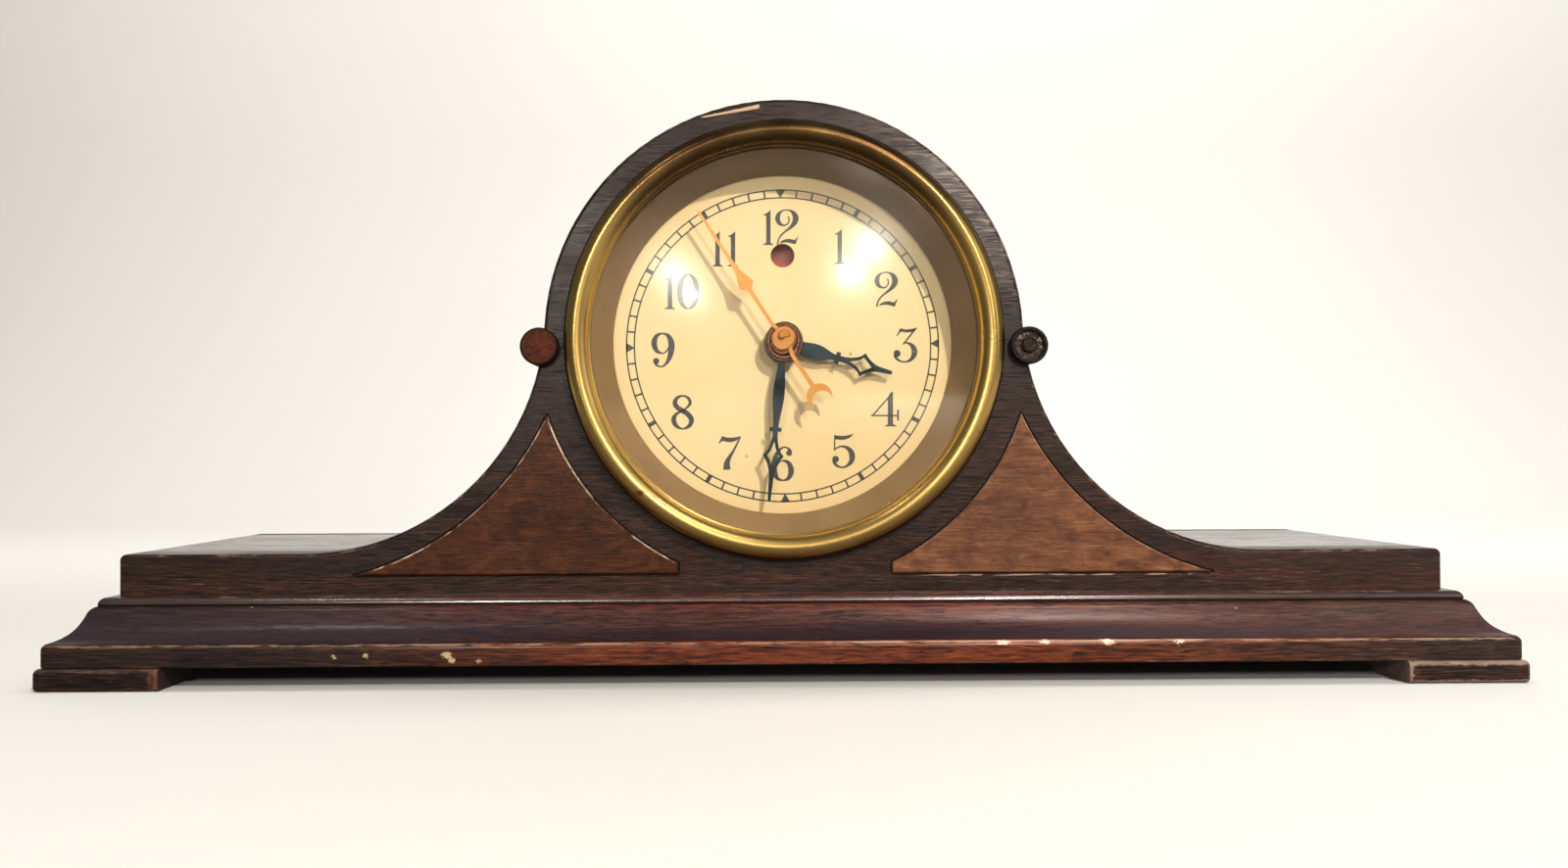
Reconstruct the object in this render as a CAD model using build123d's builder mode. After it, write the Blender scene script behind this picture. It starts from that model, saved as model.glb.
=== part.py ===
from build123d import *
import math
import os

os.makedirs("parts", exist_ok=True)

# ---------------------------------------------------------------------------
# Tambour mantel clock.  Millimetres, +Z up, the dial faces -Y, origin at the
# centre of the footprint, level with the underside of the feet.
# Depths "d" are counted from the front face of the body, positive inwards.
# ---------------------------------------------------------------------------

# body outline
HALF_WIDTH = 222.8          # body ends
BODY_DEPTH = 112.2
Z_BODY = 28.8               # underside of the body, top of the base moulding
Z_SHOULDER = 42.3           # flat shoulder
ARCH_R = 81.1
ARCH_Z = 114.2
COVE_R = 80.7               # concave sweep between arch and shoulder
COVE_X = math.sqrt((ARCH_R + COVE_R) ** 2 - (Z_SHOULDER + COVE_R - ARCH_Z) ** 2)
COVE_Z = Z_SHOULDER + COVE_R
END_ROUND = 2.0
EDGE_ROUND = 1.3
SKIN = 7.0                  # bent skin
FRONT_T = 14.0
BACK_T = 8.0

# base
SLAB_OUT = 16.9             # slab overhang past the body
Z_SLAB = 7.2
Z_MOULD = 14.8
MOULD_IN = 16.0             # moulding reaches this far under the body
FOOT_OUT = 18.5
FOOT_W = 40.25
FOOT_D = 24.9
REAR_FOOT_OUT = 1.6

# dial opening
Z_DIAL = 113.6              # common axis of bezel, dial, hands and movement
OPEN_FRONT_R = 70.0
OPEN_BACK_R = 67.0
OPEN_STEP = 9.2
DIAL_R = 72.8
DIAL_T = 0.9
SIGHT_R = 65.2
REVEAL_R = 59.0
DIAL_BORE = 4.6
WINDOW_R = 4.15             # round window for the current indicator
WINDOW_UP = 31.0

# side dowels
DOWEL_R = 6.35
DOWEL_X = 82.2
DOWEL_Z = 111.4
DOWEL_PROUD = 3.5
SLIP = 0.05                 # radial clearance of glued or running round fits

# movement
D_FRONT_PLATE = 24.0
D_BACK_PLATE = 45.0
PLATE_T = 1.5
PLATE_R = 52.0
KNOB_END = 126.0            # rearmost point of the set knob

# hands, degrees clockwise from the top of the dial
MINUTE_AT = 185.45
HOUR_AT = 105.45
SECOND_AT = 327.0

YF = -(KNOB_END - FOOT_OUT) / 2.0     # body front face in the shared frame

# arbor places, right and up from the dial axis
MID_AT = (-25.5 * math.cos(math.radians(30)), -25.5 * math.sin(math.radians(30)))
MOTION_AT = (15.0 * math.cos(math.radians(40)), 15.0 * math.sin(math.radians(40)))
SET_AT = (MOTION_AT[0] + 15.0, MOTION_AT[1])
ROTOR_AT = (0.0, -16.1)
FLAG_AT = (-16.0, 31.0)
POSTS = [(44.0 * math.cos(math.radians(t)), 44.0 * math.sin(math.radians(t))) for t in (5, 125, 245)]
PILLARS = [(47.0 * math.cos(math.radians(t)), 47.0 * math.sin(math.radians(t))) for t in (55, 150, 265, 335)]
DIAL_SCREWS = [(70.0 * math.cos(math.radians(t)), 70.0 * math.sin(math.radians(t))) for t in (45, 135, 225, 315)]
COVER_SCREWS = [(62.0 * math.cos(math.radians(t)), 62.0 * math.sin(math.radians(t))) for t in (45, 135, 225, 315)]
FIELD_SCREWS = [(-21.0, -8.0), (21.0, -8.0), (-21.0, -38.0), (21.0, -38.0)]
GLAND_AT = (0.0, -43.0)
BASE_SCREWS = [(-150.0, 4.0), (0.0, 4.0), (150.0, 4.0), (-150.0, 104.2), (0.0, 104.2), (150.0, 104.2)]


def front(d, x=0.0, z=0.0):
    """Plane parallel to the front face at depth d; local x right, local y up."""
    return Plane(origin=(x, YF + d, z), x_dir=(1, 0, 0), z_dir=(0, -1, 0))


def on_axis(d, at=(0.0, 0.0), turn=0.0):
    """Front plane at depth d centred on an arbor, turned clockwise."""
    t = math.radians(turn)
    return Plane(
        origin=(at[0], YF + d, Z_DIAL + at[1]),
        x_dir=(math.cos(t), 0, -math.sin(t)),
        z_dir=(0, -1, 0),
    )


def half_section(at=(0.0, 0.0)):
    """Plane for turned profiles: local x is radius, local y is depth."""
    return Plane(origin=(at[0], YF, Z_DIAL + at[1]), x_dir=(1, 0, 0), z_dir=(0, 0, 1))


def spin_axis(at=(0.0, 0.0)):
    return Axis((at[0], YF, Z_DIAL + at[1]), (0, 1, 0))


def polygon(points, mode=Mode.ADD):
    with BuildLine() as edge:
        Polyline(*points, close=True)
    make_face(edge.edges(), mode=mode)


def turned(points, at=(0.0, 0.0)):
    """Solid of revolution about an arbor from (radius, depth) points."""
    with BuildSketch(half_section(at)) as profile:
        polygon(points)
    revolve(profiles=profile.sketch, axis=spin_axis(at))


def body_outline():
    t = math.atan2(COVE_Z - ARCH_Z, COVE_X)
    tx, tz = ARCH_R * math.cos(t), ARCH_Z + ARCH_R * math.sin(t)
    m = math.radians(225)
    mx, mz = COVE_X + COVE_R * math.cos(m), COVE_Z + COVE_R * math.sin(m)
    s = END_ROUND * (1 - math.sqrt(0.5))
    with BuildLine() as edge:
        Line((-HALF_WIDTH, Z_BODY), (-HALF_WIDTH, Z_SHOULDER - END_ROUND))
        ThreePointArc((-HALF_WIDTH, Z_SHOULDER - END_ROUND), (-HALF_WIDTH + s, Z_SHOULDER - s), (-HALF_WIDTH + END_ROUND, Z_SHOULDER))
        Line((-HALF_WIDTH + END_ROUND, Z_SHOULDER), (-COVE_X, Z_SHOULDER))
        ThreePointArc((-COVE_X, Z_SHOULDER), (-mx, mz), (-tx, tz))
        ThreePointArc((-tx, tz), (0, ARCH_Z + ARCH_R), (tx, tz))
        ThreePointArc((tx, tz), (mx, mz), (COVE_X, Z_SHOULDER))
        Line((COVE_X, Z_SHOULDER), (HALF_WIDTH - END_ROUND, Z_SHOULDER))
        ThreePointArc((HALF_WIDTH - END_ROUND, Z_SHOULDER), (HALF_WIDTH - s, Z_SHOULDER - s), (HALF_WIDTH, Z_SHOULDER - END_ROUND))
        Line((HALF_WIDTH, Z_SHOULDER - END_ROUND), (HALF_WIDTH, Z_BODY))
        Line((HALF_WIDTH, Z_BODY), (-HALF_WIDTH, Z_BODY))
    make_face(edge.edges())


def body_hollow(mode):
    """Inside of the bent skin, run past the ends and below the body."""
    t = math.atan2(COVE_Z - ARCH_Z, COVE_X)
    ra, rc = ARCH_R - SKIN, COVE_R + SKIN
    tx, tz = ra * math.cos(t), ARCH_Z + ra * math.sin(t)
    m = math.radians(225)
    mx, mz = COVE_X + rc * math.cos(m), COVE_Z + rc * math.sin(m)
    zs = Z_SHOULDER - SKIN
    far = HALF_WIDTH + 5.0
    with BuildLine() as edge:
        Line((-far, Z_BODY - 5), (-far, zs))
        Line((-far, zs), (-COVE_X, zs))
        ThreePointArc((-COVE_X, zs), (-mx, mz), (-tx, tz))
        ThreePointArc((-tx, tz), (0, ARCH_Z + ra), (tx, tz))
        ThreePointArc((tx, tz), (mx, mz), (COVE_X, zs))
        Line((COVE_X, zs), (far, zs))
        Line((far, zs), (far, Z_BODY - 5))
        Line((far, Z_BODY - 5), (-far, Z_BODY - 5))
    make_face(edge.edges(), mode=mode)


def gear_points(teeth, module, phase, addendum, dedendum, thin=0.06):
    """Outline of a spur gear; phase is the angle of one tooth centre, degrees
    counter-clockwise from local x."""
    rp = teeth * module / 2
    ra, rf = rp + addendum * module, rp - dedendum * module
    rb = rp * math.cos(math.radians(20))

    def inv(r):
        a = math.acos(min(1.0, rb / r))
        return math.tan(a) - a

    half = (math.pi * module / 2 - 2 * thin * module) / 2 / rp
    r0 = max(rb, rf)
    flank = [(r, half + inv(rp) - inv(r)) for r in [r0 + (ra - r0) * k / 3 for k in range(4)]]
    if rf < rb:
        flank = [(rf, flank[0][1])] + flank
    pts = []
    for i in range(teeth):
        c = math.radians(phase) + 2 * math.pi * i / teeth
        for r, h in flank:
            pts.append((r * math.cos(c - h), r * math.sin(c - h)))
        for r, h in reversed(flank):
            pts.append((r * math.cos(c + h), r * math.sin(c + h)))
    return pts


def mesh_phase(here, there, teeth_here, phase_here, teeth_there):
    """Tooth angle of a gear that meshes with a gear of known phase."""
    line = math.degrees(math.atan2(there[1] - here[1], there[0] - here[0]))
    pitch = 360.0 / teeth_here
    off = (phase_here - line + pitch / 2) % pitch - pitch / 2
    return line + 180.0 - off * teeth_here / teeth_there + 180.0 / teeth_there


WHEEL = dict(addendum=0.6, dedendum=1.15)
PINION = dict(addendum=0.9, dedendum=0.95)

# ===========================================================================
# wooden body
# ===========================================================================
# outline of the burl inlay panels and the sunk line around them
INLAY_PROUD = 1.0
INLAY_LINE = 0.6
INLAY_LINE_DEEP = 0.9
INLAY_Z = 35.0
INLAY_X = 36.0
INLAY_IN_R = 83.9
INLAY_IN_Z = 114.5
INLAY_OUT_R = 97.35
INLAY_OUT_X = 168.26
INLAY_OUT_Z = 129.41


def inlay_outline(s):
    """Three-cornered panel between the bezel and the sweep; s is the side."""
    d = math.hypot(INLAY_OUT_X, INLAY_OUT_Z - INLAY_IN_Z)
    a = (INLAY_IN_R**2 - INLAY_OUT_R**2 + d**2) / (2 * d)
    h = math.sqrt(INLAY_IN_R**2 - a**2)
    ux, uz = INLAY_OUT_X / d, (INLAY_OUT_Z - INLAY_IN_Z) / d
    apex = (a * ux + h * uz, INLAY_IN_Z + a * uz - h * ux)
    blunt_z = INLAY_IN_Z - math.sqrt(INLAY_IN_R**2 - INLAY_X**2)
    tip_x = INLAY_OUT_X - math.sqrt(INLAY_OUT_R**2 - (INLAY_OUT_Z - INLAY_Z) ** 2)
    t0, t1 = math.atan2(blunt_z - INLAY_IN_Z, INLAY_X), math.atan2(apex[1] - INLAY_IN_Z, apex[0])
    tm = (t0 + t1) / 2
    mid_in = (INLAY_IN_R * math.cos(tm), INLAY_IN_Z + INLAY_IN_R * math.sin(tm))
    q0 = math.atan2(apex[1] - INLAY_OUT_Z, apex[0] - INLAY_OUT_X) % (2 * math.pi)
    q1 = math.atan2(INLAY_Z - INLAY_OUT_Z, tip_x - INLAY_OUT_X) % (2 * math.pi)
    qm = (q0 + q1) / 2
    mid_out = (INLAY_OUT_X + INLAY_OUT_R * math.cos(qm), INLAY_OUT_Z + INLAY_OUT_R * math.sin(qm))

    def f(p):
        return (s * p[0], p[1])

    with BuildLine() as edge:
        Line(f((INLAY_X, INLAY_Z)), f((INLAY_X, blunt_z)))
        ThreePointArc(f((INLAY_X, blunt_z)), f(mid_in), f(apex))
        ThreePointArc(f(apex), f(mid_out), f((tip_x, INLAY_Z)))
        Line(f((tip_x, INLAY_Z)), f((INLAY_X, INLAY_Z)))
    make_face(edge.edges())


with BuildPart() as front_panel:
    with BuildSketch(front(0)):
        body_outline()
    extrude(amount=-FRONT_T)
    rim = front_panel.faces().sort_by(Axis.Y)[0].outer_wire().edges().filter_by(lambda e: e.center().Z > Z_BODY + 1)
    fillet(rim, EDGE_ROUND)
    with BuildSketch(front(-5, 0, Z_DIAL)):
        Circle(OPEN_FRONT_R)
    extrude(amount=-(5 + OPEN_STEP), mode=Mode.SUBTRACT)
    with BuildSketch(front(0, 0, Z_DIAL)):
        Circle(OPEN_BACK_R)
    extrude(amount=-(FRONT_T + 5), mode=Mode.SUBTRACT)
    with BuildSketch(front(-5)):
        with Locations((-DOWEL_X, DOWEL_Z), (DOWEL_X, DOWEL_Z)):
            Circle(DOWEL_R + SLIP)
    extrude(amount=-(FRONT_T + 10), mode=Mode.SUBTRACT)
    with BuildSketch(front(FRONT_T + 1, 0, Z_DIAL)):
        with Locations(*DIAL_SCREWS):
            Circle(1.1 + SLIP)
    extrude(amount=1 + 4.3, mode=Mode.SUBTRACT)
    for side in (-1, 1):
        with BuildSketch(front(0)) as line_out:
            inlay_outline(side)
            offset(amount=INLAY_LINE, kind=Kind.ARC)
        with BuildSketch(front(0)) as line_in:
            inlay_outline(side)
            offset(amount=-0.5, kind=Kind.INTERSECTION)
        extrude(line_out.sketch - line_in.sketch, amount=-INLAY_LINE_DEEP, mode=Mode.SUBTRACT)

with BuildPart() as back_panel:
    with BuildSketch(front(BODY_DEPTH - BACK_T)):
        body_outline()
    extrude(amount=-BACK_T)
    with BuildSketch(front(BODY_DEPTH - BACK_T - 1, 0, Z_DIAL)):
        Circle(58.0)
        with Locations(*COVER_SCREWS):
            Circle(1.5 + SLIP)
    extrude(amount=-(BACK_T + 2), mode=Mode.SUBTRACT)
    with BuildSketch(front(BODY_DEPTH - BACK_T - 1)):
        with Locations((-DOWEL_X, DOWEL_Z), (DOWEL_X, DOWEL_Z)):
            Circle(DOWEL_R + SLIP)
    extrude(amount=-(BACK_T + 2), mode=Mode.SUBTRACT)

with BuildPart() as arch_skin:
    with BuildSketch(front(FRONT_T)):
        body_outline()
        body_hollow(Mode.SUBTRACT)
        with Locations((0, DOWEL_Z + 100)):
            Rectangle(400, 200, mode=Mode.INTERSECT)
        with Locations((-DOWEL_X, DOWEL_Z), (DOWEL_X, DOWEL_Z)):
            Circle(DOWEL_R + SLIP, mode=Mode.SUBTRACT)
    extrude(amount=-(BODY_DEPTH - FRONT_T - BACK_T))

with BuildPart() as shoulder_skin_left:
    with BuildSketch(front(FRONT_T)):
        body_outline()
        body_hollow(Mode.SUBTRACT)
        with Locations((-200, DOWEL_Z - 100)):
            Rectangle(400, 200, mode=Mode.INTERSECT)
        with Locations((-DOWEL_X, DOWEL_Z)):
            Circle(DOWEL_R + SLIP, mode=Mode.SUBTRACT)
    extrude(amount=-(BODY_DEPTH - FRONT_T - BACK_T))

with BuildPart() as shoulder_skin_right:
    with BuildSketch(front(FRONT_T)):
        body_outline()
        body_hollow(Mode.SUBTRACT)
        with Locations((200, DOWEL_Z - 100)):
            Rectangle(400, 200, mode=Mode.INTERSECT)
        with Locations((DOWEL_X, DOWEL_Z)):
            Circle(DOWEL_R + SLIP, mode=Mode.SUBTRACT)
    extrude(amount=-(BODY_DEPTH - FRONT_T - BACK_T))

END_H = Z_SHOULDER - SKIN - Z_BODY
with BuildPart() as end_board_left:
    with BuildSketch(front(FRONT_T, -HALF_WIDTH + SKIN / 2, Z_BODY + END_H / 2)):
        Rectangle(SKIN, END_H)
    extrude(amount=-(BODY_DEPTH - FRONT_T - BACK_T))

with BuildPart() as end_board_right:
    with BuildSketch(front(FRONT_T, HALF_WIDTH - SKIN / 2, Z_BODY + END_H / 2)):
        Rectangle(SKIN, END_H)
    extrude(amount=-(BODY_DEPTH - FRONT_T - BACK_T))

# the left dowel ends in a plain worn disc, the right one in a turned button
with BuildPart() as side_dowel_left:
    with BuildSketch(front(-DOWEL_PROUD, -DOWEL_X, DOWEL_Z)):
        Circle(DOWEL_R)
    extrude(amount=-(DOWEL_PROUD + BODY_DEPTH))
    fillet(side_dowel_left.faces().sort_by(Axis.Y)[0].edges(), 0.8)

with BuildPart() as side_dowel_right:
    with BuildSketch(front(-DOWEL_PROUD, DOWEL_X, DOWEL_Z)):
        Circle(DOWEL_R)
    extrude(amount=-(DOWEL_PROUD + BODY_DEPTH))
    with BuildSketch(front(-DOWEL_PROUD - 1, DOWEL_X, DOWEL_Z)):
        Circle(4.85)
        Circle(2.6, mode=Mode.SUBTRACT)
    extrude(amount=-(1 + 1.2), mode=Mode.SUBTRACT)
    fillet(side_dowel_right.edges().filter_by(GeomType.CIRCLE).filter_by(lambda e: abs(e.center().Y - (YF - DOWEL_PROUD)) < 0.01 and e.radius > 3), 0.7)
    fillet(side_dowel_right.edges().filter_by(GeomType.CIRCLE).filter_by(lambda e: abs(e.center().Y - (YF - DOWEL_PROUD)) < 0.01 and e.radius < 3), 1.0)

# burl inlay panels, glued on the front face inside a fine sunk line
with BuildPart() as inlay_left:
    with BuildSketch(front(-INLAY_PROUD)):
        inlay_outline(-1)
    extrude(amount=-INLAY_PROUD)
    chamfer(inlay_left.faces().sort_by(Axis.Y)[0].edges(), 0.5)

with BuildPart() as inlay_right:
    with BuildSketch(front(-INLAY_PROUD)):
        inlay_outline(1)
    extrude(amount=-INLAY_PROUD)
    chamfer(inlay_right.faces().sort_by(Axis.Y)[0].edges(), 0.5)

# ===========================================================================
# base
# ===========================================================================


def moulding_profile(s=1.0, shift=0.0):
    """Section of the base moulding: x is the overhang past the body, y is Z."""

    def f(e, z):
        return (s * e + shift, z)

    with BuildLine() as edge:
        Polyline(f(-MOULD_IN, Z_MOULD), f(-MOULD_IN, Z_BODY), f(0.3, Z_BODY), f(2.6, 28.4))
        ThreePointArc(f(2.6, 28.4), f(3.95, 27.65), f(4.55, 26.2))
        Line(f(4.55, 26.2), f(4.4, 25.7))
        ThreePointArc(f(4.4, 25.7), f(5.85, 24.95), f(6.8, 23.5))
        Spline(f(6.8, 23.5), f(8.6, 19.7), f(9.95, 17.9), f(12.0, 16.25), f(15.6, Z_MOULD))
        Line(f(15.6, Z_MOULD), f(-MOULD_IN, Z_MOULD))
    make_face(edge.edges())


with BuildPart() as base_moulding_front:
    with BuildSketch(Plane(origin=(-HALF_WIDTH - 25, YF, 0), x_dir=(0, -1, 0), z_dir=(-1, 0, 0))):
        moulding_profile()
    extrude(amount=-(2 * HALF_WIDTH + 50))
    with BuildSketch(Plane(origin=(0, YF, Z_MOULD - 1))):
        polygon([(-HALF_WIDTH - 22, -22), (HALF_WIDTH + 22, -22), (HALF_WIDTH - MOULD_IN, MOULD_IN), (-HALF_WIDTH + MOULD_IN, MOULD_IN)])
    extrude(amount=20, mode=Mode.INTERSECT)
    with BuildSketch(Plane(origin=(0, YF, Z_MOULD - 1))):
        with Locations(*BASE_SCREWS[:3]):
            Circle(1.8 + SLIP)
    extrude(amount=1 + 8.1, mode=Mode.SUBTRACT)

with BuildPart() as base_moulding_left:
    with BuildSketch(front(-25)):
        moulding_profile(-1.0, -HALF_WIDTH)
    extrude(amount=-(25 + BODY_DEPTH))
    with BuildSketch(Plane(origin=(0, YF, Z_MOULD - 1))):
        polygon([(-HALF_WIDTH - 22, -22), (-HALF_WIDTH + MOULD_IN, MOULD_IN), (-HALF_WIDTH + MOULD_IN, BODY_DEPTH + 1), (-HALF_WIDTH - 22, BODY_DEPTH + 1)])
    extrude(amount=20, mode=Mode.INTERSECT)

with BuildPart() as base_moulding_right:
    with BuildSketch(front(-25)):
        moulding_profile(1.0, HALF_WIDTH)
    extrude(amount=-(25 + BODY_DEPTH))
    with BuildSketch(Plane(origin=(0, YF, Z_MOULD - 1))):
        polygon([(HALF_WIDTH + 22, -22), (HALF_WIDTH - MOULD_IN, MOULD_IN), (HALF_WIDTH - MOULD_IN, BODY_DEPTH + 1), (HALF_WIDTH + 22, BODY_DEPTH + 1)])
    extrude(amount=20, mode=Mode.INTERSECT)

with BuildPart() as base_rear_rail:
    with BuildSketch(Plane(origin=(0, YF, Z_MOULD))):
        with Locations((0, BODY_DEPTH - MOULD_IN / 2)):
            Rectangle(2 * (HALF_WIDTH - MOULD_IN), MOULD_IN)
    extrude(amount=Z_BODY - Z_MOULD)
    with BuildSketch(Plane(origin=(0, YF, Z_MOULD - 1))):
        with Locations(*BASE_SCREWS[3:]):
            Circle(1.8 + SLIP)
    extrude(amount=1 + 8.1, mode=Mode.SUBTRACT)

with BuildPart() as base_board:
    with BuildSketch(Plane(origin=(0, YF, Z_SLAB))):
        with Locations((0, (BODY_DEPTH - SLAB_OUT) / 2)):
            Rectangle(2 * (HALF_WIDTH + SLAB_OUT), BODY_DEPTH + SLAB_OUT)
    extrude(amount=Z_MOULD - Z_SLAB)
    corners = base_board.edges().filter_by(Axis.Z).sort_by(Axis.Y)[:2]
    fillet(corners, 2.4)
    top_edges = base_board.faces().sort_by(Axis.Z)[-1].edges().filter_by(lambda e: e.center().Y < YF + BODY_DEPTH - 1)
    fillet(top_edges, 1.9)
    low_edges = base_board.faces().sort_by(Axis.Z)[0].edges().filter_by(lambda e: e.center().Y < YF + BODY_DEPTH - 1)
    fillet(low_edges, 0.7)
    with BuildSketch(Plane(origin=(0, YF, Z_SLAB - 1))):
        with Locations(*BASE_SCREWS):
            Circle(1.8 + SLIP)
    extrude(amount=20, mode=Mode.SUBTRACT)
    with Locations(*[(x, YF + y, Z_SLAB + 1.2) for x, y in BASE_SCREWS]):
        Cone(3.65 + SLIP, 1.8 + SLIP, 2.4, mode=Mode.SUBTRACT)


def foot_block(sx, rear):
    """One foot; the two outer faces are bull-nosed."""
    x = sx * (HALF_WIDTH + FOOT_OUT - FOOT_W / 2)
    y = BODY_DEPTH + REAR_FOOT_OUT - FOOT_D / 2 if rear else FOOT_D / 2 - FOOT_OUT
    with BuildSketch(Plane(origin=(x, YF + y, 0))) as print_area:
        Rectangle(FOOT_W, FOOT_D)
    extrude(print_area.sketch, amount=Z_SLAB)


with BuildPart() as foot_front_left:
    foot_block(-1, False)
    fillet(foot_front_left.edges().filter_by(Axis.Z).sort_by(lambda e: e.center().X + e.center().Y)[0], 2.6)
    fillet(foot_front_left.faces().sort_by(Axis.Z)[-1].edges().filter_by(lambda e: e.center().X < -HALF_WIDTH - 5 or e.center().Y < YF - 10), 1.9)
    fillet(foot_front_left.faces().sort_by(Axis.Z)[0].edges().filter_by(lambda e: e.center().X < -HALF_WIDTH - 5 or e.center().Y < YF - 10), 1.5)

with BuildPart() as foot_front_right:
    foot_block(1, False)
    fillet(foot_front_right.edges().filter_by(Axis.Z).sort_by(lambda e: -e.center().X + e.center().Y)[0], 2.6)
    fillet(foot_front_right.faces().sort_by(Axis.Z)[-1].edges().filter_by(lambda e: e.center().X > HALF_WIDTH + 5 or e.center().Y < YF - 10), 1.9)
    fillet(foot_front_right.faces().sort_by(Axis.Z)[0].edges().filter_by(lambda e: e.center().X > HALF_WIDTH + 5 or e.center().Y < YF - 10), 1.5)

with BuildPart() as foot_rear_left:
    foot_block(-1, True)
    fillet(foot_rear_left.edges().filter_by(Axis.Z).sort_by(lambda e: e.center().X - e.center().Y)[0], 2.6)
    fillet(foot_rear_left.faces().sort_by(Axis.Z)[-1].edges().filter_by(lambda e: e.center().X < -HALF_WIDTH - 5 or e.center().Y > YF + BODY_DEPTH), 1.9)
    fillet(foot_rear_left.faces().sort_by(Axis.Z)[0].edges().filter_by(lambda e: e.center().X < -HALF_WIDTH - 5 or e.center().Y > YF + BODY_DEPTH), 1.5)

with BuildPart() as foot_rear_right:
    foot_block(1, True)
    fillet(foot_rear_right.edges().filter_by(Axis.Z).sort_by(lambda e: -e.center().X - e.center().Y)[0], 2.6)
    fillet(foot_rear_right.faces().sort_by(Axis.Z)[-1].edges().filter_by(lambda e: e.center().X > HALF_WIDTH + 5 or e.center().Y > YF + BODY_DEPTH), 1.9)
    fillet(foot_rear_right.faces().sort_by(Axis.Z)[0].edges().filter_by(lambda e: e.center().X > HALF_WIDTH + 5 or e.center().Y > YF + BODY_DEPTH), 1.5)

with BuildPart() as base_screws:
    with Locations(*[(x, YF + y, Z_SLAB + 1.2) for x, y in BASE_SCREWS]):
        Cone(3.65, 1.8, 2.4)
    with Locations(*[(x, YF + y, Z_SLAB + 2.4 + 6.5) for x, y in BASE_SCREWS]):
        Cylinder(1.8, 13.0)

# ===========================================================================
# bezel, glass, reveal and dial
# ===========================================================================
GLASS_R = 67.1
GLASS_T = 1.8
GLASS_RISE = 7.5
GLASS_EDGE = -2.2           # depth of the dome where it meets the bezel lip
DOME_R = (SIGHT_R**2 + GLASS_RISE**2) / (2 * GLASS_RISE)


def dome(r, back=0.0):
    return GLASS_EDGE - GLASS_RISE + DOME_R - math.sqrt(DOME_R**2 - r**2) + back


with BuildPart() as bezel_ring:
    with BuildSketch(half_section()):
        with BuildLine():
            Line((69.6, 0.0), (74.1, 0.0))
            Line((74.1, 0.0), (74.1, -0.8))
            Spline((74.1, -0.8), (73.05, -4.8), (70.0, -6.9), (67.1, -5.9), (65.75, -3.7), tangents=((0, -1), (-0.3, 1)))
            Line((65.75, -3.7), (SIGHT_R, -3.4))
            Polyline((SIGHT_R, -3.4), (SIGHT_R, GLASS_EDGE - 0.06), (67.2, GLASS_EDGE - 0.06), (67.2, 9.0), (69.6, 9.0), (69.6, 0.0))
        make_face()
    revolve(axis=spin_axis())

with BuildPart() as bezel_glass:
    with BuildSketch(half_section()):
        with BuildLine():
            ThreePointArc((0, dome(0)), (GLASS_R / 2, dome(GLASS_R / 2)), (GLASS_R, dome(GLASS_R)))
            Line((GLASS_R, dome(GLASS_R)), (GLASS_R, dome(GLASS_R, GLASS_T)))
            ThreePointArc((GLASS_R, dome(GLASS_R, GLASS_T)), (GLASS_R / 2, dome(GLASS_R / 2, GLASS_T)), (0, dome(0, GLASS_T)))
            Line((0, dome(0, GLASS_T)), (0, dome(0)))
        make_face()
    revolve(axis=spin_axis())

D_RETAINER = dome(GLASS_R, GLASS_T) + 0.05
with BuildPart() as glass_retainer:
    turned([(65.6, D_RETAINER), (67.15, D_RETAINER), (67.15, D_RETAINER + 1.2), (65.6, D_RETAINER + 1.2)])

with BuildPart() as reveal_ring:
    turned([
        (SIGHT_R - 0.2, 1.9), (66.6, 1.9), (66.6, 2.9), (65.5, 2.9), (60.9, FRONT_T),
        (73.0, FRONT_T), (73.0, FRONT_T + 1.0), (REVEAL_R, FRONT_T + 1.0), (REVEAL_R, FRONT_T - 0.4),
    ])
    with BuildSketch(on_axis(FRONT_T - 1)):
        with Locations(*DIAL_SCREWS):
            Circle(1.1 + SLIP)
    extrude(amount=-3, mode=Mode.SUBTRACT)

with BuildPart() as dial_plate:
    with BuildSketch(on_axis(FRONT_T + 1.0)):
        Circle(DIAL_R)
        Circle(DIAL_BORE, mode=Mode.SUBTRACT)
        with Locations((0, WINDOW_UP)):
            Circle(WINDOW_R, mode=Mode.SUBTRACT)
        with Locations(*DIAL_SCREWS):
            Circle(1.1 + SLIP, mode=Mode.SUBTRACT)
    extrude(amount=-DIAL_T)

D_DIAL_BACK = FRONT_T + 1.0 + DIAL_T
with BuildPart() as dial_screws:
    with BuildSketch(on_axis(D_DIAL_BACK)):
        with Locations(*DIAL_SCREWS):
            Circle(2.0)
    extrude(amount=-1.3)
    with BuildSketch(on_axis(FRONT_T - 4.2)):
        with Locations(*DIAL_SCREWS):
            Circle(1.1)
    extrude(amount=-(4.2 + 1.0 + DIAL_T))

with BuildPart() as dial_posts:
    with BuildSketch(on_axis(D_DIAL_BACK)):
        with Locations(*POSTS):
            Circle(2.5)
    extrude(amount=-(D_FRONT_PLATE - D_DIAL_BACK))
    with BuildSketch(on_axis(D_FRONT_PLATE)):
        with Locations(*POSTS):
            Circle(1.5)
    extrude(amount=-(PLATE_T + 0.6))

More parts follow.
